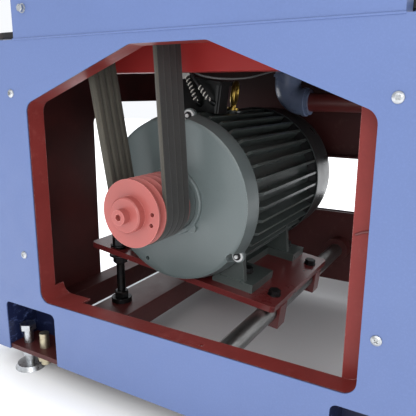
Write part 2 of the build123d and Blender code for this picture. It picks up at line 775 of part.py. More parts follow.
def loop_face(y0, z0, r0, y1, z1, r1):
    """The outline of a belt stretched round two circles, drawn with Y across and Z up."""
    angle = math.atan2(z1 - z0, y1 - y0)
    spread = math.acos((r0 - r1) / math.hypot(z1 - z0, y1 - y0))

    def at(y, z, r, a):
        return (y + r * math.cos(a), z + r * math.sin(a))

    a_up, a_down = angle + spread, angle - spread
    start_a, start_b = at(y0, z0, r0, a_up), at(y1, z1, r1, a_up)
    end_b, end_a = at(y1, z1, r1, a_down), at(y0, z0, r0, a_down)
    edges = [
        Line(start_a, start_b),
        ThreePointArc(start_b, at(y1, z1, r1, angle), end_b),
        Line(end_b, end_a),
        ThreePointArc(end_a, at(y0, z0, r0, angle + math.pi), start_a)]
    return make_face(edges)


def v_belts():
    """The running belts: the first groove of the pulleys is left empty."""
    inner_half = belt_top_width / 2 - belt_thickness * math.tan(math.radians(groove_half_angle))
    steps = 4
    belts = []
    for x in groove_centres()[1:1 + belt_count]:
        belt = None
        for i in range(steps):
            top = belt_thickness * i / steps
            low = belt_thickness * (i + 1) / steps
            half = belt_top_width / 2 + (inner_half - belt_top_width / 2) * (i + 1) / steps
            band = (loop_face(motor_axis_y, motor_axis_z, motor_pulley_r - top,
                              front_drum_y, drum_axis_z, drum_pulley_r - top)
                    - loop_face(motor_axis_y, motor_axis_z, motor_pulley_r - low,
                                front_drum_y, drum_axis_z, drum_pulley_r - low))
            layer = wall_along_x(band, (x - half, x + half))
            belt = layer if belt is None else belt + layer
        belts.append(belt.solids()[0])
    return Compound(children=belts)


def link_pulley(y):
    low, high = link_pulley_x[1], link_pulley_x[0]
    pulley = rod_along_x(link_pulley_r, (low, high))
    for flange_x in ((low, low + 3), (high - 3, high)):
        pulley += rod_along_x(link_pulley_r + 6, flange_x)
    pulley -= rod_along_x(link_pulley_r - 8, (low - 1, low + 12))
    pulley += rod_along_x(34.0, (low, low + 12))
    return Pos(0, y, drum_axis_z) * (pulley - rod_along_x(drum_shaft_r, (-500, 0)))


def link_belt():
    inner = link_pulley_r + body_gap
    outer = inner + link_belt_thickness
    band = (loop_face(front_drum_y, drum_axis_z, outer, rear_drum_y, drum_axis_z, outer)
            - loop_face(front_drum_y, drum_axis_z, inner, rear_drum_y, drum_axis_z, inner))
    return wall_along_x(band, (link_pulley_x[1] + 5, link_pulley_x[0] - 5))


# ---------------------------------------------------------------- drums
def drum(y, shaft_x):
    half = drum_half_length
    body = rod_along_x(drum_radius, (-half, half)) - rod_along_x(
        drum_radius - drum_tube_wall, (-half + 12, half - 12))
    body += rod_along_x(drum_shaft_r, shaft_x)
    return Pos(0, y, drum_axis_z) * body


def abrasive(y):
    half = drum_half_length - 2
    sleeve = rod_along_x(drum_radius + wrap_thickness, (-half, half)) - rod_along_x(
        drum_radius, (-half, half))
    return Pos(0, y, drum_axis_z) * sleeve


def drum_bearings():
    units = []
    for side in (-1, 1):
        for y in (front_drum_y, rear_drum_y):
            x0 = side * tower_inner_x
            flange = block((x0, x0 + side * 12), (y - bearing_flange / 2, y + bearing_flange / 2),
                           (drum_axis_z - bearing_flange / 2, drum_axis_z + bearing_flange / 2))
            flange = fillet(flange.edges().filter_by(Axis.X), 14.0)
            unit = flange + rod_along_x(bearing_boss_r, (x0, x0 + side * bearing_length), y, drum_axis_z)
            for dy in (-36, 36):
                for dz in (-36, 36):
                    unit += rod_along_x(7.0, (x0 + side * 12, x0 + side * 18), y + dy, drum_axis_z + dz)
            unit -= rod_along_x(drum_shaft_r + fit, (x0 - 40, x0 + 40), y, drum_axis_z)
            units.append(unit)
    return Compound(children=units)


# ---------------------------------------------------------------- towers
def tower(sign):
    x = (tower_inner_x - tower_plate, side_x)
    z = (deck_top, head_top)
    y = (-tower_half_depth, tower_half_depth)
    shell = block(x, y, z)
    shell -= block((tower_inner_x, side_x - wall), (y[0] + wall, y[1] - wall), (z[0] - 1, z[1] - wall))
    for y_drum in (front_drum_y, rear_drum_y):
        shell -= rod_along_x(drum_shaft_r + 6, (x[0] - 5, tower_inner_x + 1), y_drum, drum_axis_z)
    for y_roller in pressure_roller_y:
        shell -= rod_along_x(pressure_shaft_r + fit, (x[0] - 5, tower_inner_x + 1), y_roller, pressure_axis_z)
    chain_zone = (arm_x + sprocket_r - 9, arm_x + sprocket_r + 9)
    shell -= block(chain_zone, (-400, 400), (deck_top - 1, chain_bottom + chain_height + 4))
    for i in range(7):
        z_slot = 640 + 16 * i
        shell -= block((side_x - 10, side_x + 5), (60, 190), (z_slot, z_slot + 5))
    return shell if sign > 0 else mirror(shell, Plane.YZ)


def pressure_roller(y):
    roller = rod_along_x(pressure_roller_r, (-272, 272))
    roller += rod_along_x(pressure_shaft_r, (-tower_inner_x - 4, tower_inner_x + 4))
    return Pos(0, y, pressure_axis_z) * roller


# ---------------------------------------------------------------- hood
def hood():
    """The dust hood between the towers: a sheet shell open underneath, with two round outlets."""
    outer = Polygon((-hood_half_y, hood_bottom), (hood_half_y, hood_bottom), (hood_half_y, hood_rear_z),
                    (170, hood_top), (-130, hood_top), (-hood_half_y, hood_front_z), align=None)
    inner = offset(outer, -hood_sheet)
    shell = wall_along_x(outer, (-hood_half_x, hood_half_x))
    shell -= wall_along_x(inner, (-hood_half_x + hood_sheet, hood_half_x - hood_sheet))
    shell -= block((-hood_half_x + hood_sheet, hood_half_x - hood_sheet),
                   (-hood_half_y + hood_sheet, hood_half_y - hood_sheet), (hood_bottom - 5, hood_bottom + 5))
    for side in (-1, 1):
        side_cut_y = (-hood_half_y + hood_sheet, hood_half_y - hood_sheet)
        shell -= block((side * (hood_half_x - 5), side * (hood_half_x + 1)), side_cut_y,
                       (hood_bottom - 5, hood_side_bottom))
    for side in (-1, 1):
        hinge_x = (side * 150.0, side * 250.0)
        shell += rod_along_x(hood_knuckle_r, hinge_x, hood_half_y + hood_knuckle_r - 0.5, hood_bottom)
    for x in both_ways((dust_port_x,)):
        shell -= rod_along_z(dust_port_r - 1.5, (hood_top - 20, hood_top + 20), x, 20)
        shell += rod_along_z(dust_port_r, (hood_top, hood_top + dust_port_height), x, 20) - rod_along_z(
            dust_port_r - 1.5, (hood_top - 20, hood_top + dust_port_height + 5), x, 20)
    for x in both_ways((200.0,)):
        grip = block((x - 45, x + 45), (-hood_half_y - 26, -hood_half_y), (1000, 1008))
        grip -= block((x - 37, x + 37), (-hood_half_y - 18, -hood_half_y), (999, 1009))
        shell += grip
    return shell


# ---------------------------------------------------------------- feed table


def table_bed():
    top = table_surface - feed_belt_thickness - body_gap
    bottom = roller_axis_z - feed_roller_r + 6
    bed = block((-table_plate_x, table_plate_x), (-bed_half_length, bed_half_length), (bottom, top))
    bed -= block((-table_plate_x + 8, table_plate_x - 8), (-bed_half_length + 8, bed_half_length - 8),
                 (bottom - 1, top - 6))
    for side in (-1, 1):
        plate = block((side * table_plate_x, side * (table_plate_x + table_plate_thickness)),
                      (-feed_roller_y - 16, feed_roller_y + 16), (roller_axis_z - 36, table_surface - 6))
        for y in both_ways((feed_roller_y,)):
            plate -= rod_along_x(roller_shaft_r + fit, (-300, 300), y, roller_axis_z)
        bed += plate
        for y in both_ways((arm_y,)):
            arm_low = side * (table_plate_x + table_plate_thickness)
            bed += block((arm_low, side * arm_x), (y - 14, y + 14), arm_z)
            bed += rod_along_z(nut_boss_r, arm_z, side * arm_x, y)
    for x in both_ways((arm_x,)):
        for y in both_ways((arm_y,)):
            bed -= rod_along_z(screw_r + fit, (600, 900), x, y)
    return bed


def conveyor_belt():
    outer = feed_roller_r + feed_belt_thickness
    inner = feed_roller_r + body_gap
    band = (loop_face(-feed_roller_y, roller_axis_z, outer, feed_roller_y, roller_axis_z, outer)
            - loop_face(-feed_roller_y, roller_axis_z, inner, feed_roller_y, roller_axis_z, inner))
    return wall_along_x(band, (-feed_belt_half, feed_belt_half))


def feed_roller(y, shaft_end):
    roller = rod_along_x(feed_roller_r, (-feed_belt_half + 1, feed_belt_half - 1))
    roller += rod_along_x(roller_shaft_r, (-table_plate_x - 12, shaft_end))
    return Pos(0, y, roller_axis_z) * roller


def feed_gear_motor():
    x0, x1 = gear_motor_x
    case = block((x0, x1), (feed_roller_y - 32, feed_roller_y + 34), (roller_axis_z - 34, roller_axis_z + 24))
    case = fillet(case.edges().filter_by(Axis.X), 10.0)
    case += rod_along_x(30.0, (x1, x1 + 70), feed_roller_y + 2, roller_axis_z - 6)
    case -= rod_along_x(roller_shaft_r + fit, (x0 - 5, x0 + 36), feed_roller_y, roller_axis_z)
    return case


# ---------------------------------------------------------------- lift
def lift_screw(x, y):
    screw = rod_along_z(screw_r, (deck_top - 14, screw_top), x, y)
    screw += rod_along_z(sprocket_r - 4, (chain_bottom, chain_bottom + chain_height), x, y)
    screw += rod_along_z(16.0, (deck_top + 1, chain_bottom), x, y)
    return screw


def lift_chain():
    """A roller chain round the four screw sprockets, as a closed band."""
    def loop(offset_out):
        path = rectangle((-arm_x - sprocket_r - offset_out, arm_x + sprocket_r + offset_out),
                         (-arm_y - sprocket_r - offset_out, arm_y + sprocket_r + offset_out))
        return fillet(path.vertices(), sprocket_r + offset_out)
    band = loop(chain_half_width) - loop(-chain_half_width + body_gap)
    return Pos(0, 0, chain_bottom) * extrude(band, chain_height)


def handwheel():
    z = screw_top + 1
    rim = Pos(arm_x, -arm_y, z + 18) * Torus(58.0, 7.0)
    hub = rod_along_z(18.0, (z, z + 24), arm_x, -arm_y)
    wheel = rim + hub
    for angle in (0, 120, 240):
        wheel += Pos(arm_x, -arm_y, z + 18) * Rot(0, 0, angle + 45) * Pos(34, 0, 0) * Box(44, 10, 7)
    wheel += rod_along_z(9.0, (z + 22, z + 66), arm_x, -arm_y - 58)
    return wheel


# ---------------------------------------------------------------- controls


def control_box():
    box = block(control_x, (-tower_half_depth, control_front), control_z)
    box = fillet(box.edges().filter_by(Axis.Y), 6.0)
    box -= block((control_x[0] + 3, control_x[1] - 3), (-tower_half_depth - 3, control_front + 3),
                 (control_z[0] + 3, control_z[1] - 3))
    for z in (stop_z, knob_z):
        box -= rod_along_y(6.0 + fit * 4, (control_front - 5, control_front + 10), control_mid_x, z)
    return box


def stop_button():
    button = rod_along_y(6.0, (control_front + 14, control_front - 10), control_mid_x, stop_z)
    button += rod_along_y(20.0, (control_front - 8, control_front - 20), control_mid_x, stop_z)
    return fillet(button.edges().filter_by(GeomType.CIRCLE).group_by(Axis.Y)[0], 4.0)


def speed_knob():
    knob = rod_along_y(6.0, (control_front + 14, control_front - 4), control_mid_x, knob_z)
    knob += rod_along_y(16.0, (control_front - 1, control_front - 18), control_mid_x, knob_z)
    knob += block((control_mid_x - 1.2, control_mid_x + 1.2), (control_front - 19, control_front - 12),
                  (knob_z + 4, knob_z + 15.6))
    return knob


# ---------------------------------------------------------------- conduit


def conduit_elbow():
    centre_y = conduit_y + conduit_bend
    centre_z = conduit_z + conduit_bend
    arc = Pos(conduit_x, centre_y, centre_z) * (Plane.YZ * CenterArc((0, 0), conduit_bend, 180, 90))
    profile = Plane(origin=(conduit_x, conduit_y, centre_z), z_dir=(0, 0, -1)) * Circle(conduit_r)
    elbow = sweep(profile, path=arc)
    elbow += rod_along_z(conduit_r, (centre_z, top_rail_bottom + 18), conduit_x, conduit_y)
    elbow += rod_along_z(conduit_r + 3, (centre_z + 14, centre_z + 19), conduit_x, conduit_y)
    elbow += rod_along_y(conduit_r + 2, (centre_y, centre_y + 7), conduit_x, conduit_z)
    elbow += rod_along_y(conduit_r - 1, (centre_y, centre_y + 14), conduit_x, conduit_z)
    return elbow - rod_along_y(pipe_r, (centre_y + 2, centre_y + 20), conduit_x, conduit_z)


def conduit_pipe():
    return rod_along_y(pipe_r, (conduit_y + conduit_bend + 2, frame_inner_y), conduit_x, conduit_z)


# ---------------------------------------------------------------- motor leads
# Each route runs from the deck's underside down to where the lead ends.
power_lead_r = 2.6
signal_lead_r = 1.6
lead_start_z = deck_top - wall - 1.6
box_face_x = terminal_x[1] + 1.6
power_route = [
    (239.0, -116.0, lead_start_z), (239.5, -111.0, 518.0), (240.0, -102.0, 498.0),
    (240.5, -92.0, 480.0), (241.0, -85.0, 464.0), (238.5, -82.0, 452.0), (box_face_x, -81.5, 448.5)]
branch_route = [
    (240.0, -98.0, lead_start_z), (243.0, -94.0, 517.0), (245.0, -88.0, 498.0), (244.0, -76.0, 481.0),
    (242.5, -65.0, 467.0), (240.0, -57.0, 455.5), (box_face_x, -55.0, 450.5)]
signal_route = [
    (228.0, -122.0, lead_start_z), (231.0, -109.0, 511.0), (236.0, -86.0, 498.0),
    (238.0, -58.0, 491.0), (227.0, -29.0, 489.0), (196.0, -11.0, 491.0), (152.0, -7.0, 498.0),
    (104.0, -11.0, 504.0), (56.0, -20.0, 508.0), (16.0, -27.0, 510.0), (-3.6, -29.6, 511.0)]


def turn_radius(before, corner, after):
    first = Vector(*corner) - Vector(*before)
    second = Vector(*after) - Vector(*corner)
    turn = math.radians(first.get_angle(second))
    return 0.45 * min(first.length, second.length) / math.tan(turn / 2)


def lead(route, radius):
    radii = [turn_radius(*route[i:i + 3]) for i in range(len(route) - 2)]
    path = FilletPolyline(*route, radius=radii)
    start = Vector(*route[1]) - Vector(*route[0])
    tube = sweep(Plane(origin=route[0], z_dir=start) * Circle(radius), path=path)
    print("lead bend radii (mm):", [round(r, 1) for r in radii], "length:", round(path.length, 1),
          "volume ratio:", round(tube.volume / (math.pi * radius ** 2 * path.length), 4))
    return tube.solids()[0]


def motor_leads():
    return Compound(children=[
        lead(power_route, power_lead_r), lead(branch_route, power_lead_r), lead(signal_route, signal_lead_r)])


# ---------------------------------------------------------------- write every piece
write("drive_side_panel", side_panel(1))
write("far_side_panel", side_panel(-1))
write("front_base_panel", end_panel(-1))
write("rear_base_panel", end_panel(1))
write("drive_opening_flange", opening_flange())
write("cover_screws", cover_screws())
write("base_frame", base_frame())
write("motor_crossmember", motor_crossmember())
write("levelling_feet", levelling_feet())
write("anchor_studs", anchor_studs())
write("hinge_rod", rod_along_x(rod_r, rod_x, rod_y, rod_z))
write("tension_screw", tension_screw())
write("tension_nuts", tension_nuts())
write("motor_plate", motor_plate())
write("hinge_blocks", hinge_blocks())
write("clamp_screws", clamp_screws())
write("foot_bolts", foot_bolts())
write("motor_housing", housing_bolt_slots(motor_housing()))
write("motor_front_bell", motor_front_bell())
write("bearing_cap", bearing_cap())
write("bell_bolts", bell_bolts())
write("fan_cowl", fan_cowl())
write("eye_bolt", eye_bolt())
write("terminal_box", terminal_box())
write("motor_rotor", motor_rotor())
write("cooling_fan", cooling_fan())
write("motor_pulley", motor_pulley())
write("pulley_screw", pulley_screw())
write("v_belts", v_belts())
write("drum_pulley", drum_pulley())
write("front_drum", drum(front_drum_y, (link_pulley_x[1] - 6, pulley_front_x + 6)))
write("rear_drum", drum(rear_drum_y, (link_pulley_x[1] - 6, tower_inner_x + bearing_length + 6)))
write("front_abrasive", abrasive(front_drum_y))
write("rear_abrasive", abrasive(rear_drum_y))
write("front_link_pulley", link_pulley(front_drum_y))
write("rear_link_pulley", link_pulley(rear_drum_y))
write("link_belt", link_belt())
write("drum_bearings", drum_bearings())
write("drive_tower", tower(1))
write("far_tower", tower(-1))
write("front_pressure_roller", pressure_roller(pressure_roller_y[0]))
write("rear_pressure_roller", pressure_roller(pressure_roller_y[1]))
write("hood", hood())
write("table_bed", table_bed())
write("conveyor_belt", conveyor_belt())
write("idler_roller", feed_roller(-feed_roller_y, table_plate_x + 12))
write("feed_roller", feed_roller(feed_roller_y, gear_motor_x[0] + 30))
write("feed_gear_motor", feed_gear_motor())
for name, x, y in (("front_drive", arm_x, -arm_y), ("rear_drive", arm_x, arm_y),
                   ("front_far", -arm_x, -arm_y), ("rear_far", -arm_x, arm_y)):
    write(f"lift_screw_{name}", lift_screw(x, y))
write("lift_chain", lift_chain())
write("handwheel", handwheel())
write("control_box", control_box())
write("stop_button", stop_button())
write("speed_knob", speed_knob())
write("conduit_elbow", conduit_elbow())
write("conduit_pipe", conduit_pipe())
write("motor_leads", motor_leads())
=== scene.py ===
import math

import bmesh
import bpy
from mathutils import Matrix, Vector


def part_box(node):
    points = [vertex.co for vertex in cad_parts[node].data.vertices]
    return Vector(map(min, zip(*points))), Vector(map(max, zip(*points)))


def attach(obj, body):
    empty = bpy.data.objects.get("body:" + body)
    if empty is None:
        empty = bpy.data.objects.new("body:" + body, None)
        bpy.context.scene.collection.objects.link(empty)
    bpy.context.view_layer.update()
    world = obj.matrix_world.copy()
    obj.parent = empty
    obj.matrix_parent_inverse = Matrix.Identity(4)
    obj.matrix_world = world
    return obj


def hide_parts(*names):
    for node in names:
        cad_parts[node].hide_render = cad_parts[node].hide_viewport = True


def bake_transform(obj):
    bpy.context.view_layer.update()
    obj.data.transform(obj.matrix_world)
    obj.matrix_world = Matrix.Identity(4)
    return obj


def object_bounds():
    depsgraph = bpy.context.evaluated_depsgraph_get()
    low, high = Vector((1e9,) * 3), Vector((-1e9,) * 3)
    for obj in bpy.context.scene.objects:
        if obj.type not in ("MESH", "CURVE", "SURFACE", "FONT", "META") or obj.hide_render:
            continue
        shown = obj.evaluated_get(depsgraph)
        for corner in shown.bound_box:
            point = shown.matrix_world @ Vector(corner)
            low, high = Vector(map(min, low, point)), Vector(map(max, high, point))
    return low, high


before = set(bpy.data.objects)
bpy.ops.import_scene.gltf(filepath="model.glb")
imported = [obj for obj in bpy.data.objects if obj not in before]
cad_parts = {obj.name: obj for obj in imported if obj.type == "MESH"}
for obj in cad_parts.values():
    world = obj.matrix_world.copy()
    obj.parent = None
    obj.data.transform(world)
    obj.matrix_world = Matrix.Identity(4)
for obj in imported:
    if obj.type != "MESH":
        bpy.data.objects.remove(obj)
cad_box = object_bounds()
scene = bpy.context.scene

# ---------------------------------------------------------------- camera
CAMERA_PLACE = Vector((0.940, 0.3506, 0.4693))
CAMERA_FORWARD = Vector((-0.84096, -0.49069, -0.22807))
CAMERA_ROLL = 0.00551
CAMERA_LENS = 42.98


def make_camera():
    data = bpy.data.cameras.new("camera")
    data.lens = CAMERA_LENS
    data.sensor_width = 36.0
    data.clip_start, data.clip_end = 0.01, 50.0
    camera = bpy.data.objects.new("camera", data)
    scene.collection.objects.link(camera)
    forward = CAMERA_FORWARD.normalized()
    level = forward.cross(Vector((0, 0, 1))).normalized()
    upright = level.cross(forward)
    right = level * math.cos(CAMERA_ROLL) + upright * math.sin(CAMERA_ROLL)
    up = right.cross(forward)
    camera.matrix_world = Matrix((
        (right.x, up.x, -forward.x, CAMERA_PLACE.x),
        (right.y, up.y, -forward.y, CAMERA_PLACE.y),
        (right.z, up.z, -forward.z, CAMERA_PLACE.z),
        (0, 0, 0, 1)))
    scene.camera = camera


make_camera()


# ---------------------------------------------------------------- shader building
def srgb(red, green, blue):
    """A colour given in 0 to 255 display values, as linear RGBA."""
    def linear(v):
        v /= 255
        return v / 12.92 if v <= 0.04045 else ((v + 0.055) / 1.055) ** 2.4
    return (linear(red), linear(green), linear(blue), 1.0)


def darker(colour, share):
    return tuple(c * share for c in colour[:3]) + (1.0,)


class Finish:
    """One procedural material, built node by node."""

    def __init__(self, name, roughness=0.5, metallic=0.0, coat=0.0, coat_roughness=0.1, specular=0.5,
                 sheen=0.0):
        self.material = bpy.data.materials.new(name)
        self.material.use_nodes = True
        self.tree = self.material.node_tree
        self.shader = self.tree.nodes["Principled BSDF"]
        for socket, value in (("Roughness", roughness), ("Metallic", metallic), ("Coat Weight", coat),
                              ("Coat Roughness", coat_roughness), ("Specular IOR Level", specular),
                              ("Sheen Weight", sheen)):
            self.shader.inputs[socket].default_value = value
        self.place = self.add("ShaderNodeTexCoord").outputs["Object"]
        self.height = None

    def add(self, kind, settings=None, **sockets):
        made = self.tree.nodes.new(kind)
        for key, value in (settings or {}).items():
            setattr(made, key, value)
        for key, value in sockets.items():
            name = key.replace("_", " ")
            self.put(made.inputs[name], value)
        return made

    def put(self, socket, value):
        if isinstance(value, bpy.types.NodeSocket):
            self.tree.links.new(value, socket)
        else:
            socket.default_value = value

    def noise(self, scale, detail=3.0, rough=0.55, distortion=0.0, stretch=None):
        place = self.place
        if stretch:
            place = self.add("ShaderNodeMapping", Vector=place, Scale=stretch).outputs["Vector"]
        return self.add("ShaderNodeTexNoise", Vector=place, Scale=scale, Detail=detail, Roughness=rough,
                        Distortion=distortion).outputs["Fac"]

    def cells(self, scale, feature="F1", randomness=1.0):
        return self.add("ShaderNodeTexVoronoi", {"feature": feature}, Vector=self.place, Scale=scale,
                        Randomness=randomness).outputs["Distance"]

    def remap(self, value, low, high, out_low=0.0, out_high=1.0):
        made = self.add("ShaderNodeMapRange", Value=value)
        for key, number in (("From Min", low), ("From Max", high), ("To Min", out_low), ("To Max", out_high)):
            made.inputs[key].default_value = number
        return made.outputs["Result"]

    def math(self, operation, a, b=0.0):
        made = self.add("ShaderNodeMath", {"operation": operation})
        self.put(made.inputs[0], a)
        self.put(made.inputs[1], b)
        return made.outputs["Value"]

    def mix(self, share, a, b):
        made = self.add("ShaderNodeMix", {"data_type": "RGBA"})
        self.put(made.inputs["Factor"], share)
        self.put(made.inputs[6], a)
        self.put(made.inputs[7], b)
        return made.outputs[2]

    def axis(self, name):
        return self.add("ShaderNodeSeparateXYZ", Vector=self.place).outputs[name]

    def edges(self, radius=0.0012):
        """1 on sharp outer edges and 0 on flat faces."""
        soft = self.add("ShaderNodeBevel", {"samples": 4}, Radius=radius).outputs["Normal"]
        flat = self.add("ShaderNodeNewGeometry").outputs["Normal"]
        dot = self.add("ShaderNodeVectorMath", {"operation": "DOT_PRODUCT"})
        self.put(dot.inputs[0], soft)
        self.put(dot.inputs[1], flat)
        return self.remap(dot.outputs["Value"], 0.995, 0.90)

    def colour(self, value):
        self.put(self.shader.inputs["Base Color"], value)
        return self

    def roughness(self, value):
        self.put(self.shader.inputs["Roughness"], value)
        return self

    def bump(self, height, distance, strength=1.0):
        """Adds one layer of relief, its depth in metres."""
        made = self.add("ShaderNodeBump", Height=height, Distance=distance, Strength=strength)
        if self.height is not None:
            self.tree.links.new(self.height, made.inputs["Normal"])
        self.height = made.outputs["Normal"]
        self.tree.links.new(self.height, self.shader.inputs["Normal"])
        return self


def painted(name, colour, roughness=0.42, peel=320.0, depth=0.00018, shade=0.86, edge_wear_and_highlight=None, coat=0.0,
            dust=None, blotch=5.0):
    """Sprayed paint: cloudy colour, orange peel, fine grain, and lightened edges where asked, partly worn
    paint and partly a painted highlight.
    """
    made = Finish(name, roughness=roughness, coat=coat, coat_roughness=0.16)
    cloud = made.remap(made.noise(blotch, 4.0, 0.6), 0.3, 0.7)
    tone = made.mix(cloud, darker(colour, shade), colour)
    fleck = made.remap(made.noise(peel * 0.9, 2.0), 0.44, 0.62)
    tone = made.mix(made.math("MULTIPLY", fleck, 0.14), tone, darker(colour, 1.16))
    if dust:
        settled = made.remap(made.noise(38.0, 6.0, 0.7), 0.56, 0.8)
        tone = made.mix(made.math("MULTIPLY", settled, 0.35), tone, dust)
    # Lighter sharp edges: partly chipped paint, partly a painted highlight.
    if edge_wear_and_highlight:
        chips_and_highlight = made.math("MULTIPLY", made.edges(), made.remap(made.noise(160.0, 4.0, 0.7), 0.42, 0.6))
        tone = made.mix(made.math("MULTIPLY", chips_and_highlight, 0.8), tone, edge_wear_and_highlight)
    made.colour(tone)
    made.roughness(made.remap(made.noise(24.0, 4.0), 0.25, 0.75, roughness - 0.07, roughness + 0.09))
    made.bump(made.noise(peel, 2.0, 0.5), depth, 0.55)
    made.bump(made.noise(peel * 5, 2.0, 0.6), depth * 0.15, 0.5)
    return made


def metal(name, colour, roughness=0.3, grain=60.0, stretch=None, stain=None, stain_share=0.4, depth=0.00004):
    """Bare or plated metal: uneven tone and roughness, fine scratches, and stains where asked."""
    made = Finish(name, roughness=roughness, metallic=1.0)
    cloud = made.remap(made.noise(grain, 5.0, 0.65, stretch=stretch), 0.3, 0.7)
    tone = made.mix(cloud, darker(colour, 0.72), colour)
    if stain:
        patch = made.remap(made.noise(grain * 0.6, 6.0, 0.7, 0.6), 0.5, 0.68)
        tone = made.mix(made.math("MULTIPLY", patch, stain_share), tone, stain)
    made.colour(tone)
    smear = made.noise(grain * 2.4, 4.0, stretch=stretch)
    made.roughness(made.remap(smear, 0.2, 0.8, roughness * 0.7, roughness * 1.5))
    made.bump(made.noise(grain * 12, 3.0, stretch=stretch), depth, 0.6)
    return made


PANEL_BLUE = srgb(90, 109, 156)
DEEP_RED = srgb(74, 32, 31)
PLATE_RED = srgb(112, 42, 42)
MOTOR_GREY = srgb(112, 124, 124)
MOTOR_DARK = srgb(78, 86, 84)
PULLEY_SALMON = srgb(170, 86, 80)
SKIN_DEPTH = 0.0016           # how far in from the outer face a wall still counts as outside
POCKET_DEPTH = 0.0606
POCKET_Y = (0.2194, 0.3336)
POCKET_TOP = 0.1266
PAINTED_SHADE_Z = (0.40, 0.49)         # where painted shade darkens the frame under the deck
BELT_BAR_X = 0.27             # the bar beside the belts lies past this, and above the painted shade; its face gets a painted highlight


def inside(made, axis, low, high, edge=0.0002):
    """1 where the coordinate lies between two values, ignoring its sign."""
    value = made.math("ABSOLUTE", made.axis(axis))
    above = made.remap(value, low - edge, low + edge)
    below = made.remap(value, high + edge, high - edge)
    return made.math("MULTIPLY", above, below)


def wall_finish(name):
    """The base walls: blue outside, red primer inside, and dark painted shade in the foot pockets, with
    lighter scratches.
    """
    made = Finish(name, roughness=0.4)
    skin_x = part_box("drive_side_panel")[1].x
    skin_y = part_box("rear_base_panel")[1].y
    at_x = made.math("GREATER_THAN", made.math("ABSOLUTE", made.axis("X")), skin_x - SKIN_DEPTH)
    at_y = made.math("GREATER_THAN", made.math("ABSOLUTE", made.axis("Y")), skin_y - SKIN_DEPTH)
    outside = made.math("MAXIMUM", at_x, at_y)
    cloud = made.remap(made.noise(4.0, 4.0, 0.6), 0.3, 0.7)
    blue = made.mix(cloud, darker(PANEL_BLUE, 0.93), PANEL_BLUE)
    fleck = made.remap(made.noise(420.0, 2.0), 0.5, 0.66)
    blue = made.mix(made.math("MULTIPLY", fleck, 0.22), blue, darker(PANEL_BLUE, 1.2))
    red = made.mix(made.remap(made.noise(9.0, 5.0), 0.35, 0.7), srgb(70, 34, 33), srgb(98, 44, 42))
    tone = made.mix(outside, red, blue)
    pocket = made.math("MULTIPLY", inside(made, "X", skin_x - POCKET_DEPTH, skin_x - SKIN_DEPTH),
                       inside(made, "Y", *POCKET_Y))
    pocket = made.math("MULTIPLY", pocket, made.math("LESS_THAN", made.axis("Z"), POCKET_TOP))
    # Painted shade: the foot pockets' recesses go dark navy, streaked lighter.
    scratch = made.remap(made.noise(60.0, 8.0, 0.75, 1.2, stretch=(1.0, 0.5, 1.8)), 0.54, 0.66)
    pocket_shade = made.mix(scratch, srgb(20, 28, 62), srgb(92, 108, 156))
    made.colour(made.mix(pocket, tone, pocket_shade))
    made.roughness(made.remap(made.noise(30.0, 4.0), 0.25, 0.75, 0.34, 0.5))
    made.bump(made.noise(330.0, 2.0, 0.5), 0.0002, 0.5)
    return made


def deck_finish():
    """The inner frame's red primer with painted shade under the deck and a painted highlight on the bar
    beside the belts, and the deck's top sprayed blue.
    """
    made = painted("frame_paint", DEEP_RED, 0.46, edge_wear_and_highlight=srgb(120, 92, 86), dust=srgb(118, 84, 78))
    tone = made.shader.inputs["Base Color"].links[0].from_socket
    # Painted shade: the frame darkens towards the deck's underside, away from the belts.
    painted_shade = made.remap(made.axis("Z"), *PAINTED_SHADE_Z)
    painted_shade = made.math("MULTIPLY", painted_shade, made.math("LESS_THAN", made.axis("X"), BELT_BAR_X))
    tone = made.mix(made.math("MULTIPLY", painted_shade, 0.85), tone, srgb(30, 17, 16))
    # Painted light: the bar's face beside the belts is lightened to a bright red.
    painted_light_bar = made.math("MULTIPLY", made.math("GREATER_THAN", made.axis("X"), BELT_BAR_X),
                        made.math("GREATER_THAN", made.axis("Z"), PAINTED_SHADE_Z[1]))
    tone = made.mix(made.math("MULTIPLY", painted_light_bar, 0.75), tone, srgb(168, 44, 42))
    top = made.math("GREATER_THAN", made.axis("Z"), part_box("base_frame")[1].z - 0.001)
    blue = made.mix(made.remap(made.noise(4.0, 4.0), 0.3, 0.7), darker(PANEL_BLUE, 0.93), PANEL_BLUE)
    made.colour(made.mix(top, tone, blue))
    return made


def belt_finish(name, colour, cord_colour, across):
    """Fabric-covered rubber: fine weave, rubbed streaks along the run."""
    made = Finish(name, roughness=0.72, specular=0.35, sheen=0.15)
    weave = made.add("ShaderNodeTexWave", {"bands_direction": "Z"}, Vector=made.place, Scale=900.0,
                     Distortion=1.5, Detail=1.0).outputs["Fac"]
    threads = made.math("MULTIPLY", weave, made.remap(made.noise(700.0, 2.0), 0.35, 0.65))
    tone = made.mix(made.math("MULTIPLY", threads, 0.5), colour, cord_colour)
    streak = made.remap(made.noise(90.0, 4.0, 0.7, stretch=(9.0, 1.0, 0.12)), 0.45, 0.7)
    tone = made.mix(made.math("MULTIPLY", streak, across), tone, cord_colour)
    made.colour(tone)
    made.bump(threads, 0.00015, 0.5)
    made.bump(made.noise(500.0, 3.0), 0.00008, 0.5)
    return made


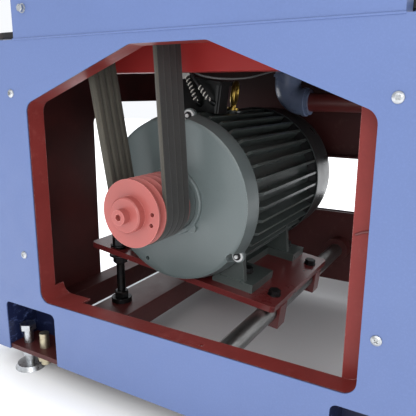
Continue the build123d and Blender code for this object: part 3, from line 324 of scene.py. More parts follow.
def cast_finish(name, colour, roughness=0.44, grain=210.0, depth=0.00035, edge_wear_and_highlight=None, streaks=0.0):
    """Painted sand casting: soft pitting under glossy enamel."""
    made = Finish(name, roughness=roughness, coat=0.25, coat_roughness=0.22)
    cloud = made.remap(made.noise(7.0, 5.0, 0.62), 0.3, 0.72)
    tone = made.mix(cloud, darker(colour, 0.8), darker(colour, 1.08))
    pit = made.remap(made.cells(grain * 1.7), 0.0, 0.5)
    tone = made.mix(made.math("MULTIPLY", pit, 0.12), darker(colour, 0.7), tone) if streaks else tone
    grime = made.remap(made.noise(45.0, 6.0, 0.72), 0.55, 0.8)
    tone = made.mix(made.math("MULTIPLY", grime, 0.25), tone, darker(colour, 0.5))
    # Lighter sharp edges: partly rubbed paint, partly a painted highlight.
    if edge_wear_and_highlight:
        rubbed_and_highlight = made.math("MULTIPLY", made.edges(0.0015), made.remap(made.noise(90.0, 4.0, 0.7), 0.3, 0.6))
        tone = made.mix(made.math("MULTIPLY", rubbed_and_highlight, 0.6), tone, edge_wear_and_highlight)
    made.colour(tone)
    made.roughness(made.remap(made.noise(28.0, 4.0), 0.25, 0.75, roughness - 0.1, roughness + 0.1))
    made.bump(made.noise(grain, 4.0, 0.6), depth, 0.5)
    made.bump(made.noise(grain * 4, 2.0), depth * 0.2, 0.5)
    return made


def grit_finish():
    """Abrasive cloth: brown bond with sparkling grains."""
    made = Finish("abrasive_grit", roughness=0.85, specular=0.3)
    grains = made.cells(1400.0)
    tone = made.mix(made.remap(grains, 0.1, 0.6), srgb(150, 108, 74), srgb(92, 58, 38))
    loaded = made.remap(made.noise(14.0, 4.0, stretch=(0.3, 2.0, 2.0)), 0.5, 0.7)
    tone = made.mix(made.math("MULTIPLY", loaded, 0.4), tone, srgb(196, 170, 130))
    made.colour(tone)
    made.bump(grains, 0.0004, 0.8)
    return made


def feed_finish():
    """The conveyor's rough-top rubber: small raised ribs and wood dust."""
    made = Finish("feed_rubber_ribbed", roughness=0.8, specular=0.25)
    ribs = made.add("ShaderNodeTexWave", {"bands_direction": "Y"}, Vector=made.place, Scale=110.0,
                    Distortion=2.5, Detail=2.0).outputs["Fac"]
    tone = made.mix(ribs, srgb(30, 31, 32), srgb(52, 53, 54))
    dust = made.remap(made.noise(30.0, 6.0, 0.75), 0.5, 0.72)
    made.colour(made.mix(made.math("MULTIPLY", dust, 0.16), tone, srgb(150, 128, 98)))
    made.bump(ribs, 0.0006, 0.7)
    made.bump(made.cells(420.0), 0.0003, 0.5)
    return made


def plastic(name, colour, roughness=0.4, grain=900.0, depth=0.00008, coat=0.0):
    made = Finish(name, roughness=roughness, coat=coat)
    made.colour(made.mix(made.remap(made.noise(40.0, 4.0), 0.3, 0.7), darker(colour, 0.86), colour))
    made.roughness(made.remap(made.noise(60.0, 3.0), 0.3, 0.7, roughness - 0.06, roughness + 0.08))
    made.bump(made.cells(grain), depth, 0.5)
    return made


FINISHES = {
    "wall": wall_finish("wall_paint"),
    "panel_blue": painted("blue_paint", PANEL_BLUE, 0.4, peel=330.0, shade=0.93),
    "lip_red": painted("lip_paint", srgb(128, 50, 47), 0.4, edge_wear_and_highlight=srgb(196, 150, 146), shade=0.74,
                       dust=srgb(168, 96, 92), blotch=9.0),
    "frame_red": deck_finish(),
    "beam_red": painted("beam_paint", srgb(80, 32, 31), 0.42, edge_wear_and_highlight=srgb(150, 116, 108),
                        dust=srgb(140, 100, 96)),
    "plate_red": painted("plate_paint", PLATE_RED, 0.3, edge_wear_and_highlight=srgb(160, 96, 92), coat=0.35,
                         dust=srgb(128, 78, 76)),
    "pulley_red": cast_finish("pulley_enamel", PULLEY_SALMON, 0.5, 260.0, 0.0003, edge_wear_and_highlight=srgb(226, 150, 144)),
    "motor_grey": cast_finish("bell_enamel", MOTOR_GREY, 0.42, 190.0, 0.0003, streaks=0.1,
                              edge_wear_and_highlight=srgb(176, 188, 186)),
    "motor_body": cast_finish("fin_enamel", MOTOR_DARK, 0.36, 170.0, 0.0003, edge_wear_and_highlight=srgb(124, 134, 130)),
    "cowl": cast_finish("cowl_enamel", srgb(44, 49, 50), 0.34, 150.0, 0.0001, edge_wear_and_highlight=srgb(140, 150, 148)),
    "zinc": metal("zinc_plate", srgb(196, 199, 202), 0.3, 90.0, stain=srgb(120, 116, 104)),
    "gold_zinc": metal("yellow_zinc", srgb(196, 166, 84), 0.32, 90.0, stain=srgb(122, 92, 40)),
    "black_steel": metal("blackened_steel", srgb(62, 62, 64), 0.42, 110.0, stain=srgb(92, 70, 54)),
    "bright_steel": metal("turned_steel", srgb(150, 150, 149), 0.34, 40.0, stretch=(1.0, 6.0, 6.0)),
    "stud": metal("dulled_stud", srgb(206, 196, 168), 0.4, 120.0, stain=srgb(150, 120, 80), stain_share=0.6),
    "belt_top": belt_finish("belt_cover", srgb(40, 41, 41), srgb(70, 68, 62), 0.25),
    "belt_side": belt_finish("belt_edge", srgb(60, 58, 52), srgb(98, 92, 78), 0.4),
    "rubber": belt_finish("link_rubber", srgb(34, 34, 35), srgb(60, 60, 60), 0.3),
    "feed": feed_finish(),
    "drum_metal": metal("drum_alloy", srgb(186, 189, 192), 0.28, 50.0, stretch=(8.0, 1.0, 1.0)),
    "grit": grit_finish(),
    "bearing_iron": cast_finish("bearing_iron", srgb(74, 92, 82), 0.5, 230.0, 0.0003),
    "roller_steel": metal("roller_steel", srgb(168, 170, 172), 0.26, 60.0, stretch=(8.0, 1.0, 1.0)),
    "table_steel": metal("table_steel", srgb(150, 152, 155), 0.36, 40.0, stain=srgb(112, 100, 86)),
    "gearmotor_grey": cast_finish("gearmotor_enamel", srgb(104, 110, 112), 0.42, 200.0, 0.0003),
    "handwheel_black": plastic("wheel_enamel", srgb(32, 32, 34), 0.32, coat=0.4),
    "control_grey": painted("control_paint", srgb(176, 178, 176), 0.44, peel=600.0, depth=0.0001),
    "stop_red": plastic("stop_plastic", srgb(196, 24, 24), 0.3, coat=0.3),
    "knob_black": plastic("knob_plastic", srgb(28, 28, 30), 0.42),
    "fan_plastic": plastic("fan_plastic", srgb(40, 42, 44), 0.5),
    # The elbow's pale blue-grey is partly its own colour, partly a painted highlight and a painted reflection
    # of the blue panel.
    "conduit_blue": plastic("conduit_enamel_and_glint", srgb(116, 130, 160), 0.3, 400.0, coat=0.6),
    "pipe_red": painted("pipe_paint", srgb(104, 44, 42), 0.38, dust=srgb(130, 86, 84)),
    "box_black": cast_finish("box_enamel", srgb(17, 19, 19), 0.42, 200.0, 0.0002),
    "sheath": plastic("sheath_black", srgb(26, 26, 28), 0.45),
    "thin_sheath": plastic("sheath_grey", srgb(112, 112, 112), 0.45),
    "wrap_white": plastic("wrap_white", srgb(226, 224, 214), 0.38),
    "connector": plastic("connector_grey", srgb(190, 190, 186), 0.4),
    "bright_zinc": plastic("bright_plate", srgb(224, 226, 226), 0.3, coat=0.4),
    "weld_paint": painted("weld_paint", srgb(104, 40, 38), 0.36, coat=0.3, dust=srgb(150, 96, 90)),
    "collar_yellow": plastic("collar_plastic", srgb(206, 166, 36), 0.4),
}

NODE_FINISH = {
    "drive_side_panel": "wall", "far_side_panel": "wall",
    "front_base_panel": "wall", "rear_base_panel": "wall",
    "drive_opening_flange": "lip_red", "cover_screws": "zinc", "base_frame": "frame_red",
    "motor_crossmember": "beam_red", "levelling_feet": "zinc", "anchor_studs": "stud",
    "hinge_rod": "bright_steel", "tension_nuts": "black_steel", "motor_plate": "plate_red",
    "hinge_blocks": "plate_red", "clamp_screws": "black_steel", "foot_bolts": "black_steel",
    "motor_housing": "motor_body", "motor_front_bell": "motor_grey", "bearing_cap": "motor_grey",
    "bell_bolts": "zinc", "fan_cowl": "cowl", "eye_bolt": "gold_zinc", "terminal_box": "box_black",
    "motor_rotor": "bright_steel", "cooling_fan": "fan_plastic", "motor_pulley": "pulley_red",
    "pulley_screw": "pulley_red", "drum_pulley": "pulley_red", "front_drum": "drum_metal",
    "rear_drum": "drum_metal", "front_abrasive": "grit", "rear_abrasive": "grit",
    "front_link_pulley": "drum_metal", "rear_link_pulley": "drum_metal", "link_belt": "rubber",
    "drum_bearings": "bearing_iron", "drive_tower": "panel_blue", "far_tower": "panel_blue",
    "front_pressure_roller": "roller_steel", "rear_pressure_roller": "roller_steel", "hood": "panel_blue",
    "table_bed": "table_steel", "conveyor_belt": "feed", "idler_roller": "roller_steel",
    "feed_roller": "roller_steel", "feed_gear_motor": "gearmotor_grey",
    "lift_screw_front_drive": "bright_steel", "lift_screw_rear_drive": "bright_steel",
    "lift_screw_front_far": "bright_steel", "lift_screw_rear_far": "bright_steel",
    "lift_chain": "black_steel", "handwheel": "handwheel_black",
    "control_box": "control_grey", "stop_button": "stop_red", "speed_knob": "knob_black",
    "conduit_elbow": "conduit_blue", "conduit_pipe": "pipe_red", "tension_screw": "black_steel",
}

# Rounded edge width in metres where a sharp CAD edge shows.
SOFT_EDGE = {
    "drive_side_panel": 0.0007, "far_side_panel": 0.0007,
    "front_base_panel": 0.0007, "rear_base_panel": 0.0007,
    "drive_opening_flange": 0.0009, "cover_screws": 0.0003, "base_frame": 0.0012, "motor_crossmember": 0.002,
    "levelling_feet": 0.001, "anchor_studs": 0.001, "hinge_rod": 0.001, "tension_nuts": 0.001,
    "motor_plate": 0.0014, "hinge_blocks": 0.0015, "clamp_screws": 0.0008, "foot_bolts": 0.0008,
    "motor_housing": 0.0009, "motor_front_bell": 0.002, "bearing_cap": 0.001, "bell_bolts": 0.0005,
    "fan_cowl": 0.0006, "terminal_box": 0.0015, "motor_pulley": 0.0009, "pulley_screw": 0.001,
    "drum_pulley": 0.001, "front_drum": 0.001, "rear_drum": 0.001, "front_link_pulley": 0.0008,
    "rear_link_pulley": 0.0008, "drum_bearings": 0.0018, "drive_tower": 0.0016, "far_tower": 0.0016,
    "front_pressure_roller": 0.001, "rear_pressure_roller": 0.001, "hood": 0.0009, "table_bed": 0.0012,
    "idler_roller": 0.001, "feed_roller": 0.001, "feed_gear_motor": 0.0015, "handwheel": 0.001,
    "control_box": 0.0012, "speed_knob": 0.0008, "conduit_elbow": 0.001, "lift_chain": 0.0008,
    "cooling_fan": 0.0006, "motor_rotor": 0.001,
}


def dress(name):
    """Gives a CAD node its finish and rounds its sharp edges."""
    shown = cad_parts[name]
    shown.data.materials.clear()
    shown.data.materials.append(FINISHES[NODE_FINISH[name]].material)
    if name in SOFT_EDGE:
        weld = shown.modifiers.new("weld", "WELD")
        weld.merge_threshold = 0.000005
        bevel = shown.modifiers.new("soft_edge", "BEVEL")
        bevel.width = SOFT_EDGE[name]
        bevel.segments = 2
        bevel.limit_method = "ANGLE"
        bevel.angle_limit = math.radians(34)
        bevel.use_clamp_overlap = True
        bevel.miter_outer = "MITER_ARC"
        normals = shown.modifiers.new("shading", "WEIGHTED_NORMAL")
        normals.keep_sharp = False
        normals.weight = 90


# Finishes that shine less than ordinary enamel.
LOW_SHINE = {"lip_red": 0.2, "box_black": 0.15, "cowl": 0.3, "frame_red": 0.3}
for finish_name, shine in LOW_SHINE.items():
    FINISHES[finish_name].shader.inputs["Specular IOR Level"].default_value = shine
for node_name in NODE_FINISH:
    dress(node_name)


# ---------------------------------------------------------------- mesh building
ALONG_X, ALONG_Z, FRONTWARD = (1, 0, 0), (0, 0, 1), (0, -1, 0)


def new_piece(name, verts, faces, finish, body=None, smooth=True, slot=None):
    """A mesh object with its finish, riding on a body when one is named."""
    mesh = bpy.data.meshes.new(name)
    mesh.from_pydata([tuple(v) for v in verts], [], faces)
    made = bmesh.new()
    made.from_mesh(mesh)
    bmesh.ops.remove_doubles(made, verts=made.verts, dist=1e-7)
    bmesh.ops.recalc_face_normals(made, faces=made.faces)
    made.to_mesh(mesh)
    made.free()
    mesh.polygons.foreach_set("use_smooth", [smooth] * len(mesh.polygons))
    mesh.materials.append(FINISHES[finish].material)
    piece = bpy.data.objects.new(name, mesh)
    scene.collection.objects.link(piece)
    if body:
        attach(piece, body)
    return piece


def travel_frames(points):
    """A side and an up direction at each point of a line, turning as little as possible."""
    frames = []
    side = None
    for i in range(len(points)):
        along = (points[min(i + 1, len(points) - 1)] - points[max(i - 1, 0)]).normalized()
        if side is None:
            side = along.orthogonal().normalized()
        side = (side - along * side.dot(along)).normalized()
        frames.append((side, along.cross(side)))
    return frames


def ring_points(centre, side, up, radius, sides):
    """Evenly spaced points on a circle whose plane holds side and up."""
    angles = [2 * math.pi * k / sides for k in range(sides)]
    return [centre + side * (radius * math.cos(a)) + up * (radius * math.sin(a)) for a in angles]


def wall_faces(rows, sides):
    """Four-sided faces between neighbouring rows of points, each row a closed ring."""
    faces = []
    for i in range(rows - 1):
        for k in range(sides):
            n = (k + 1) % sides
            faces.append((i * sides + k, i * sides + n, (i + 1) * sides + n, (i + 1) * sides + k))
    return faces


def capped(rows, sides):
    """The faces of a tube with both ends closed."""
    last = tuple(reversed(range((rows - 1) * sides, rows * sides)))
    return wall_faces(rows, sides) + [tuple(range(sides)), last]


def tube_mesh(points, radius, sides=14):
    """A closed-ended tube; radius is a number or a function of the point's index."""
    verts = []
    for i, (point, (side, up)) in enumerate(zip(points, travel_frames(points))):
        r = radius(i) if callable(radius) else radius
        verts += ring_points(point, side, up, r, sides)
    return verts, capped(len(points), sides)


def joined(parts):
    """Several meshes as one."""
    verts, faces = [], []
    for part_verts, part_faces in parts:
        offset = len(verts)
        verts += list(part_verts)
        faces += [tuple(i + offset for i in face) for face in part_faces]
    return verts, faces


def turned(profile, origin, axis, sides=32):
    """A solid turned about an axis from (along, radius) pairs, closed at both ends."""
    axis = Vector(axis).normalized()
    side = axis.orthogonal().normalized()
    up = axis.cross(side)
    verts = []
    for along, radius in profile:
        verts += ring_points(Vector(origin) + axis * along, side, up, radius, sides)
    return verts, capped(len(profile), sides)


def centre_of(name):
    low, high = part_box(name)
    return (low + high) / 2


# ---------------------------------------------------------------- V-belts
BELT_WIDTH = 0.013
BELT_COUNT = 4
BELT_FLANKS = (0, 1, 8, 9, 10, 11, 12)    # the section's sides that show the cut edge
ARC_STEPS = 56
RUN_STEPS = 60
# Across and outward offsets of a belt's section, from one flank over the crowned top to the other.
BELT_SECTION = (
    (-0.0038, -0.0078), (-0.0072, 0.0002), (-0.0071, 0.0009), (-0.0064, 0.0014), (-0.0034, 0.00155),
    (0.0, 0.0016), (0.0034, 0.00155), (0.0064, 0.0014), (0.0071, 0.0009), (0.0072, 0.0002),
    (0.0038, -0.0078), (0.0032, -0.008), (-0.0032, -0.008))


def belt_path(motor, motor_r, drum, drum_r):
    """Points on the belt's outer line with their outward directions, in the YZ plane."""
    gap = drum - motor
    angle = math.atan2(gap.z, gap.y)
    spread = math.acos((motor_r - drum_r) / math.hypot(gap.y, gap.z))
    line = []

    def arc(centre, radius, start, end):
        for i in range(ARC_STEPS + 1):
            a = start + (end - start) * i / ARC_STEPS
            out = Vector((0, math.cos(a), math.sin(a)))
            line.append((centre + out * radius, out))

    def run_to(centre, radius):
        start, out = line[-1]
        end = centre + out * radius
        for i in range(1, RUN_STEPS):
            line.append((start.lerp(end, i / RUN_STEPS), out))

    arc(motor, motor_r, angle + spread, angle + 2 * math.pi - spread)
    run_to(drum, drum_r)
    arc(drum, drum_r, angle - spread, angle + spread)
    run_to(motor, motor_r)
    return line


def make_belts():
    """Four belts with crowned tops and cut flanks, from the motor's pulley to the drum's."""
    motor, drum = centre_of("motor_pulley"), centre_of("drum_pulley")
    low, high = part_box("v_belts")
    drum_r = (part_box("drum_pulley")[1].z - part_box("drum_pulley")[0].z) / 2
    motor_low, motor_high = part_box("motor_pulley")
    motor_r = (motor_high.y - motor_low.y) / 2
    line = belt_path(Vector((0, motor.y, motor.z)), motor_r, Vector((0, drum.y, drum.z)), drum_r)
    pitch = (high.x - low.x - BELT_WIDTH) / (BELT_COUNT - 1)
    count, ring = len(line), len(BELT_SECTION)
    verts, faces, flank = [], [], []
    for b in range(BELT_COUNT):
        x = low.x + BELT_WIDTH / 2 + pitch * b
        base = len(verts)
        for point, out in line:
            for across, outward in BELT_SECTION:
                verts.append(point + out * outward + Vector((x + across, 0, 0)))
        for i in range(count):
            n = (i + 1) % count
            for k in range(ring):
                m = (k + 1) % ring
                corners = (i * ring + k, i * ring + m, n * ring + m, n * ring + k)
                faces.append(tuple(base + corner for corner in corners))
                flank.append(k in BELT_FLANKS)
    mesh = bpy.data.meshes.new("belts_cloth_covered")
    mesh.from_pydata([tuple(v) for v in verts], [], faces)
    mesh.materials.append(FINISHES["belt_top"].material)
    mesh.materials.append(FINISHES["belt_side"].material)
    mesh.polygons.foreach_set("material_index", [int(f) for f in flank])
    mesh.polygons.foreach_set("use_smooth", [True] * len(faces))
    made = bmesh.new()
    made.from_mesh(mesh)
    bmesh.ops.recalc_face_normals(made, faces=made.faces)
    made.to_mesh(mesh)
    made.free()
    belts = bpy.data.objects.new("belts_cloth_covered", mesh)
    scene.collection.objects.link(belts)
    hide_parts("v_belts")
    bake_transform(belts)


make_belts()

# ---------------------------------------------------------------- motor leads
DECK_UNDERSIDE = 0.5354
BOX_FACE = 0.2276
POWER_ROUTE = [
    (0.239, -0.116, DECK_UNDERSIDE), (0.2395, -0.111, 0.518), (0.240, -0.102, 0.498), (0.2405, -0.092, 0.480),
    (0.241, -0.085, 0.464), (0.2385, -0.082, 0.452), (BOX_FACE, -0.0815, 0.4485)]
BRANCH_ROUTE = [
    (0.240, -0.098, DECK_UNDERSIDE), (0.243, -0.094, 0.517), (0.245, -0.088, 0.498), (0.244, -0.076, 0.481),
    (0.2425, -0.065, 0.467), (0.240, -0.057, 0.4555), (BOX_FACE, -0.055, 0.4505)]
SIGNAL_ROUTE = [
    (0.228, -0.122, DECK_UNDERSIDE), (0.231, -0.109, 0.511), (0.236, -0.086, 0.498), (0.238, -0.058, 0.491),
    (0.227, -0.029, 0.489), (0.196, -0.011, 0.491), (0.152, -0.007, 0.498), (0.104, -0.011, 0.504),
    (0.056, -0.020, 0.508), (0.016, -0.027, 0.510), (-0.0036, -0.0296, 0.511)]
POWER_LEAD = 0.0052
SIGNAL_LEAD = 0.0032
WRAP_PITCH = 0.0062
WRAP_THICKNESS = 0.001


def route_line(name, route):
    """The points of the route's smooth NURBS spline."""
    data = bpy.data.curves.new(name, "CURVE")
    data.dimensions = "3D"
    data.resolution_u = 10
    spline = data.splines.new("NURBS")
    spline.points.add(len(route) - 1)
    for point, place in zip(spline.points, route):
        point.co = (*place, 1.0)
    spline.order_u = 3
    spline.use_endpoint_u = True
    guide = bpy.data.objects.new(name, data)
    scene.collection.objects.link(guide)
    bpy.context.view_layer.update()
    mesh = bpy.data.meshes.new_from_object(guide)
    points = [v.co.copy() for v in mesh.vertices]
    bpy.data.objects.remove(guide)
    bpy.data.meshes.remove(mesh)
    return points


def length_of(points):
    return sum((b - a).length for a, b in zip(points, points[1:]))


def stretch_of(points, start, end, step):
    """Evenly spaced points between two shares of a line's length."""
    total = length_of(points)
    wanted = [total * (start + (end - start) * i / step) for i in range(step + 1)]
    found, gone = [], 0.0
    for a, b in zip(points, points[1:]):
        piece = (b - a).length
        while wanted and wanted[0] <= gone + piece + 1e-9:
            found.append(a.lerp(b, (wanted.pop(0) - gone) / piece))
        gone += piece
    return found + [points[-1]] * len(wanted)


def wrap_round(points, radius, pitch):
    """A helix round a line, as one closed tube."""
    turns = length_of(points) / pitch
    frames = travel_frames(points)
    per_turn = 10
    count = int(turns * per_turn)
    helix = []
    for i in range(count + 1):
        at = i / count * (len(points) - 1)
        k = min(int(at), len(points) - 2)
        share = at - k
        centre = points[k].lerp(points[k + 1], share)
        side, up = frames[k]
        a = 2 * math.pi * i / per_turn
        helix.append(centre + side * (radius * math.cos(a)) + up * (radius * math.sin(a)))
    return helix


def rounded_block(name, centre, size, finish, turn=0.0, edge=0.0015):
    made = bmesh.new()
    bmesh.ops.create_cube(made, size=1.0)
    bmesh.ops.scale(made, vec=size, verts=made.verts)
    bmesh.ops.bevel(made, geom=list(made.edges), offset=edge, segments=3, profile=0.5, affect="EDGES")
    bmesh.ops.rotate(made, cent=(0, 0, 0), matrix=Matrix.Rotation(turn, 3, "X"), verts=made.verts)
    bmesh.ops.translate(made, vec=centre, verts=made.verts)
    mesh = bpy.data.meshes.new(name)
    made.to_mesh(mesh)
    made.free()
    mesh.polygons.foreach_set("use_smooth", [True] * len(mesh.polygons))
    mesh.materials.append(FINISHES[finish].material)
    piece = bpy.data.objects.new(name, mesh)
    scene.collection.objects.link(piece)
    return piece


def hang(piece):
    """Bakes a lead piece's placement into its mesh."""
    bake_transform(piece)


def make_leads():
    """Two wrapped leads to the motor's box, and a thin one along the deck to the conduit."""
    for name, route, wrap_start in (("power_lead", POWER_ROUTE, 0.05), ("branch_lead", BRANCH_ROUTE, 0.6)):
        line = route_line(name + "_guide", route)
        lead = new_piece(name, *tube_mesh(line, POWER_LEAD / 2), "sheath", slot="lead_sheath")
        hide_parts("motor_leads")
        covered = stretch_of(line, wrap_start, 0.88, 60)
        coil = wrap_round(covered, POWER_LEAD / 2 + 0.0004, WRAP_PITCH)
        wrap = new_piece(name + "_spiral_wrap", *tube_mesh(coil, WRAP_THICKNESS, 8), "wrap_white",
                         slot="lead_sheath")
        collar_line = stretch_of(line, 0.9, 1.0, 6)
        collar = new_piece(name + "_gland", *tube_mesh(
            collar_line, lambda i: 0.0034 + 0.0009 * i / 6, 16), "box_black", slot="lead_sheath")
        if name == "power_lead":
            middle = stretch_of(line, 0.3, 0.48, 2)[1]
            connector = rounded_block("lead_connector", middle, (0.008, 0.017, 0.014), "connector", 0.5)
            hang(connector)
        for piece in (lead, wrap, collar):
            hang(piece)
    line = route_line("signal_guide", SIGNAL_ROUTE)
    lead = new_piece("signal_lead", *tube_mesh(line, SIGNAL_LEAD / 2, 12), "thin_sheath", "frame",
                     slot="lead_sheath")
    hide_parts("motor_leads")


make_leads()


# ---------------------------------------------------------------- screws, nuts and threads
def threaded(place, start, end, radius, pitch, depth, sides=20, steps=6):
    """A threaded rod standing along Z, its thread cut into the radius."""
    rows = max(2, int((end - start) / pitch * steps))
    verts = []
    for j in range(rows + 1):
        z = start + (end - start) * j / rows
        for k in range(sides):
            turn = k / sides
            phase = (z / pitch - turn) % 1.0
            r = radius - depth * abs(2 * phase - 1)
            a = 2 * math.pi * turn
            verts.append(Vector((place[0] + r * math.cos(a), place[1] + r * math.sin(a), z)))
    return verts, capped(rows + 1, sides)


def hex_head(place, axis, flats, height, washer=True, collar=1.28):
    """A chamfered hexagon standing on its washer."""
    corner = flats / 2 / math.cos(math.pi / 6)
    base = height * 0.14 if washer else 0.0
    parts = []
    if washer:
        rim = flats / 2 * collar
        rim_line = [(0.0, rim - 0.0003), (0.0003, rim), (base, rim), (base, rim - 0.0004)]
        parts.append(turned(rim_line, place, axis, 28))
    parts.append(turned([(base, corner * 0.97), (base + 0.0004, corner), (height * 0.84, corner),
                         (height, corner * 0.86), (height, corner * 0.3)], place, axis, 6))
    return joined(parts)


def bolts(name, places, axis, flats, height, finish, body, slot):
    """Several hexagon heads as one piece."""
    parts = [hex_head(place, axis, flats, height) for place in places]
    return new_piece(name, *joined(parts), finish, body, smooth=False, slot=slot)


SCREW_RADIUS = 0.008
SCREW_PITCH = 0.002
THREAD_DEPTH = 0.0011
SEAT_THICKNESS = 0.009
SEAT_LINE = [(0.0, 0.0185), (0.0006, 0.019), (0.0084, 0.019), (SEAT_THICKNESS, 0.0185)]


def make_tension_screw():
    """The motor plate's threaded screw, with its seat and lock nut on the crossmember."""
    low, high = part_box("tension_screw")
    x, y = (low.x + high.x) / 2, (low.y + high.y) / 2
    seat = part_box("motor_crossmember")[1].z
    parts = [threaded((x, y), low.z, high.z - 0.001, SCREW_RADIUS, SCREW_PITCH, THREAD_DEPTH),
             turned(SEAT_LINE, (x, y, seat), ALONG_Z, 40),
             hex_head((x, y, seat + SEAT_THICKNESS), ALONG_Z, 0.024, 0.013, washer=False)]
    screw = new_piece("tension_screw_threaded", *joined(parts), "black_steel", "frame", smooth=False,
                      slot="black_steel")
    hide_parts("tension_screw")


LUG_RADIUS = 0.134            # from the motor's axis
LUG_ANGLES = (90, -30, 210)
MOTOR_LEAN = 7.3              # degrees, with the plate
LUG_FACE = 0.0075             # from the tips of the screws back to the lugs
# Outlines of the lug screws, as (along, radius) pairs.
WASHER_LINE = [(0.0, 0.0088), (0.0, 0.0092), (0.0012, 0.0094), (0.002, 0.0088), (0.002, 0.0062)]
HEAD_LINE = [(0.0, 0.0062), (0.0036, 0.0062), (0.0044, 0.0054), (0.0044, 0.001)]
NUB_LINE = [(0.004, 0.003), (0.0072, 0.003), (0.0076, 0.0024), (0.0076, 0.0004)]


def make_lug_bolts():
    """Bright rings round the dark heads of the end bell's screws."""
    shaft = centre_of("motor_rotor")
    face_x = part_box("bell_bolts")[1].x - LUG_FACE
    spots = []
    for angle in LUG_ANGLES:
        a = math.radians(angle - MOTOR_LEAN)
        spots.append(Vector((face_x, shaft.y + LUG_RADIUS * math.cos(a), shaft.z + LUG_RADIUS * math.sin(a))))

    def on_lugs(name, line, sides, finish):
        parts = [turned(line, spot, ALONG_X, sides) for spot in spots]
        return new_piece(name, *joined(parts), finish, "motor_mount", smooth=False, slot="zinc")

    washers = on_lugs("lug_washers", WASHER_LINE, 32, "bright_zinc")
    on_lugs("lug_screw_nubs", NUB_LINE, 20, "bright_zinc")
    on_lugs("lug_screw_heads", HEAD_LINE, 32, "black_steel")
    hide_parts("bell_bolts")


def make_baffle():
    """The dark ring behind the fins that closes the gap inside the fan cowl."""
    fins_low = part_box("motor_housing")[0]
    cowl_low, cowl_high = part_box("fan_cowl")
    shaft = centre_of("motor_rotor")
    inner, outer = 0.09, (cowl_high.y - cowl_low.y) / 2 - 0.002
    thickness = 0.0015
    line = [(0.0, inner), (0.0, outer), (-thickness, outer), (-thickness, inner)]
    place = Vector((fins_low.x + 0.004, shaft.y, shaft.z))
    new_piece("cowl_baffle", *turned(line, place, ALONG_X, 64), "fan_plastic", "motor_mount",
              slot="motor_body")


# ---------------------------------------------------------------- welds
def weld(name, points, radius, body, finish="weld_paint", slot="frame_red"):
    """A rippled bead along a line of points."""
    line = [Vector(p) for p in points]
    step = radius * 0.55
    count = max(4, int(length_of(line) / step))
    line = stretch_of(line, 0.0, 1.0, count)

    def ripple(i):
        return radius * (0.82 + 0.18 * abs(math.sin(i * 0.9)) + 0.06 * math.sin(i * 0.37))
    return new_piece(name, *tube_mesh(line, ripple, 10), finish, body, slot=slot)


def straight(a, b):
    return [Vector(a).lerp(Vector(b), i / 8) for i in range(9)]


LAP_BEAD = 0.0014
BEAM_BEAD = 0.0026
BOSS_BEAD = 0.0012
SEAM_BEAD = 0.0016
# The lap bead's points, as X and Y offsets from the lip's rear edge, and Z.
LAP_POINTS = ((0.0005, -0.024, 0.318), (0.0008, -0.016, 0.322), (0.0008, -0.008, 0.324),
              (0.0008, -0.0035, 0.325))
BEAM_FOOT_Z = 0.047
BOSS_FACE_X = 0.4078
BOSS_RING = 0.0158


def make_welds():
    """The beads at the lip's lap, the motor's crossmember and the hinge rod's boss."""
    lip_low, lip_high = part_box("drive_opening_flange")
    beam_low, beam_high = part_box("motor_crossmember")
    rod = centre_of("hinge_rod")
    back = lip_low.x + 0.018
    weld("weld_lip_lap", [(back + dx, lip_high.y + dy, z) for dx, dy, z in LAP_POINTS], LAP_BEAD, "frame")
    side_x, top_x = beam_high.x - 0.002, beam_high.x - 0.001
    for y, tag in ((beam_low.y, "front"), (beam_high.y, "rear")):
        edge = straight((side_x, y, BEAM_FOOT_Z), (side_x, y, beam_high.z - 0.002))
        weld("weld_beam_" + tag, edge, BEAM_BEAD, "frame")
    edge = straight((top_x, beam_low.y + 0.002, beam_high.z), (top_x, beam_high.y - 0.002, beam_high.z))
    weld("weld_beam_top", edge, BEAM_BEAD, "frame")
    ring = []
    for i in range(33):
        a = math.pi * (-0.1 + 1.2 * i / 32)
        ring.append((BOSS_FACE_X, rod.y + BOSS_RING * math.cos(a), rod.z + BOSS_RING * math.sin(a)))
    weld("weld_rod_boss", ring, BOSS_BEAD, "frame")


# ---------------------------------------------------------------- trim of the upper machine
def hoop(name, centre, axis, radius, thickness, finish, body, slot, sides=12, around=72):
    """A rolled bead, as a closed ring."""
    axis = Vector(axis).normalized()
    side = axis.orthogonal().normalized()
    up = axis.cross(side)
    verts, faces = [], []
    for i in range(around):
        a = 2 * math.pi * i / around
        out = side * math.cos(a) + up * math.sin(a)
        for k in range(sides):
            b = 2 * math.pi * k / sides
            reach = radius + thickness * math.cos(b)
            verts.append(Vector(centre) + out * reach + axis * (thickness * math.sin(b)))
    for i in range(around):
        n = (i + 1) % around
        for k in range(sides):
            m = (k + 1) % sides
            faces.append((i * sides + k, i * sides + m, n * sides + m, n * sides + k))
    return new_piece(name, verts, faces, finish, body, slot=slot)


PORT_X = 0.14
PORT_Y = 0.02
# Each hoop's name, its drop below the port's rim, its radius and its thickness.
PORT_HOOPS = (("bead", 0.0016, 0.0615, 0.0016), ("collar", 0.058, 0.0635, 0.0022))


def make_port_hoops():
    """A rolled bead at each dust outlet's rim and a collar at its root."""
    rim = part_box("hood")[1].z
    for x, tag in ((PORT_X, "near"), (-PORT_X, "far")):
        for kind, drop, radius, thickness in PORT_HOOPS:
            hoop("dust_port_" + kind + "_" + tag, (x, PORT_Y, rim - drop), ALONG_Z, radius, thickness,
                 "panel_blue", "hood_lid", "panel_blue")


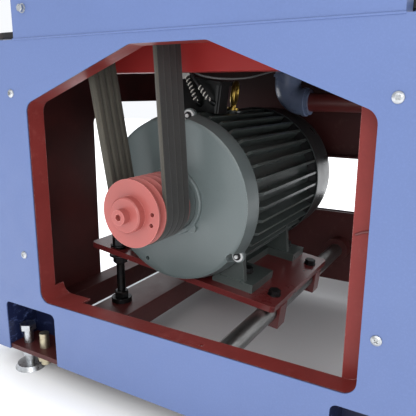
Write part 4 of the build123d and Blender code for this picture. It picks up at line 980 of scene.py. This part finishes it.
def make_tower_trim():
    """Cover screws down each tower's outer face, and the seam where it meets the deck."""
    for name, sign in (("drive", 1), ("far", -1)):
        low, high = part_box(name + "_tower")
        face = high.x if sign > 0 else low.x
        spots = [(face - sign * 0.0002, y, z) for y in (low.y + 0.024, high.y - 0.024)
                 for z in (low.z + 0.04, (low.z + high.z) / 2, high.z - 0.04)]
        bolts(name + "_tower_bolts", spots, (sign, 0, 0), 0.010, 0.0062, "zinc", "frame", "zinc")
        seam = [(low.x, low.y, low.z), (high.x, low.y, low.z), (high.x, high.y, low.z),
                (low.x, high.y, low.z), (low.x, low.y, low.z)]
        weld(name + "_tower_seam", seam, SEAM_BEAD, "frame", "panel_blue", "panel_blue")


SCALE_DOTS = 11
SCALE_START = 225             # degrees, then clockwise
SCALE_STEP = 27
SCALE_RADIUS = 0.0215
DOT_LINE = [(0.0, 0.0009), (0.0005, 0.0009)]
COLLAR_LINE = [(0.0, 0.0295), (0.0022, 0.029), (0.003, 0.0278), (0.003, 0.012)]
LID_SCREW_INSET = 0.01


def make_control_trim():
    """The dots round the speed knob, the stop button's collar and the box lid's screws."""
    box_low, box_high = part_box("control_box")
    knob, stop = centre_of("speed_knob"), centre_of("stop_button")
    face = box_low.y
    dots = []
    for i in range(SCALE_DOTS):
        a = math.radians(SCALE_START - SCALE_STEP * i)
        spot = Vector((knob.x + SCALE_RADIUS * math.cos(a), face, knob.z + SCALE_RADIUS * math.sin(a)))
        dots.append(turned(DOT_LINE, spot, FRONTWARD, 12))
    new_piece("speed_scale_dots", *joined(dots), "wrap_white", "frame", smooth=False, slot="control_grey")
    collar = turned(COLLAR_LINE, (stop.x, face, stop.z), FRONTWARD, 56)
    new_piece("stop_collar", *collar, "collar_yellow", "frame", smooth=False, slot="control_grey")
    corners = [(x, face, z) for x in (box_low.x + LID_SCREW_INSET, box_high.x - LID_SCREW_INSET)
               for z in (box_low.z + LID_SCREW_INSET, box_high.z - LID_SCREW_INSET)]
    bolts("control_lid_screws", corners, FRONTWARD, 0.006, 0.003, "zinc", "frame", "zinc")


make_tension_screw()
make_lug_bolts()
make_baffle()
make_welds()
make_port_hoops()
make_tower_trim()
make_control_trim()


# ---------------------------------------------------------------- floor and light
FLOOR_HALF = 6
# The floor glows white away from the machine: where it begins and is full, outwards from the box.
GLOW_START, GLOW_END = -0.04, 0.14
GLOW_STRENGTH = 0.95


def make_floor():
    """A white studio floor that stays dark under the machine."""
    verts = [(x * FLOOR_HALF, y * FLOOR_HALF, 0) for x, y in ((-1, -1), (1, -1), (1, 1), (-1, 1))]
    made = Finish("studio_floor", roughness=0.35, specular=0.4)
    cloud = made.remap(made.noise(0.8, 3.0), 0.3, 0.7)
    made.colour(made.mix(cloud, srgb(228, 229, 231), srgb(236, 237, 239)))
    made.shader.inputs["Emission Color"].default_value = (1.0, 1.0, 1.0, 1.0)
    high = cad_box[1]
    away = None
    for name, reach in (("X", high.x), ("Y", high.y)):
        step = made.math("SUBTRACT", made.math("ABSOLUTE", made.axis(name)), reach)
        away = step if away is None else made.math("MAXIMUM", away, step)
    glow = made.remap(away, GLOW_START, GLOW_END, 0.0, GLOW_STRENGTH)
    made.put(made.shader.inputs["Emission Strength"], glow)
    FINISHES["floor"] = made
    floor = new_piece("studio_floor", verts, [(0, 1, 2, 3)], "floor")


def area_light(name, place, target, size, power, colour=(1.0, 1.0, 1.0)):
    data = bpy.data.lights.new(name, "AREA")
    data.shape = "RECTANGLE"
    data.size, data.size_y = size
    data.energy = power
    data.color = colour
    light = bpy.data.objects.new(name, data)
    scene.collection.objects.link(light)
    light.location = place
    light.rotation_mode = "QUATERNION"
    light.rotation_quaternion = (Vector(target) - Vector(place)).to_track_quat("-Z", "Y")


def make_light():
    world = bpy.data.worlds.new("studio")
    scene.world = world
    world.use_nodes = True
    background = world.node_tree.nodes["Background"]
    background.inputs["Color"].default_value = (0.95, 0.97, 1.0, 1.0)
    background.inputs["Strength"].default_value = 1.0
    area_light("key_light", (2.6, -0.3, 2.1), (0.2, -0.05, 0.4), (1.8, 1.4), 13.0, (1.0, 0.985, 0.96))
    area_light("front_light", (1.7, 0.75, 0.95), (0.2, -0.05, 0.35), (0.7, 0.5), 5.5)
    area_light("fill_light", (1.9, 1.9, 1.0), (0.2, 0.0, 0.4), (1.4, 1.4), 6.0)
    area_light("rear_light", (-2.4, 1.6, 2.2), (0.0, 0.0, 0.5), (2.0, 2.0), 20.0)
    scene.view_settings.view_transform = "Standard"


make_floor()
make_light()
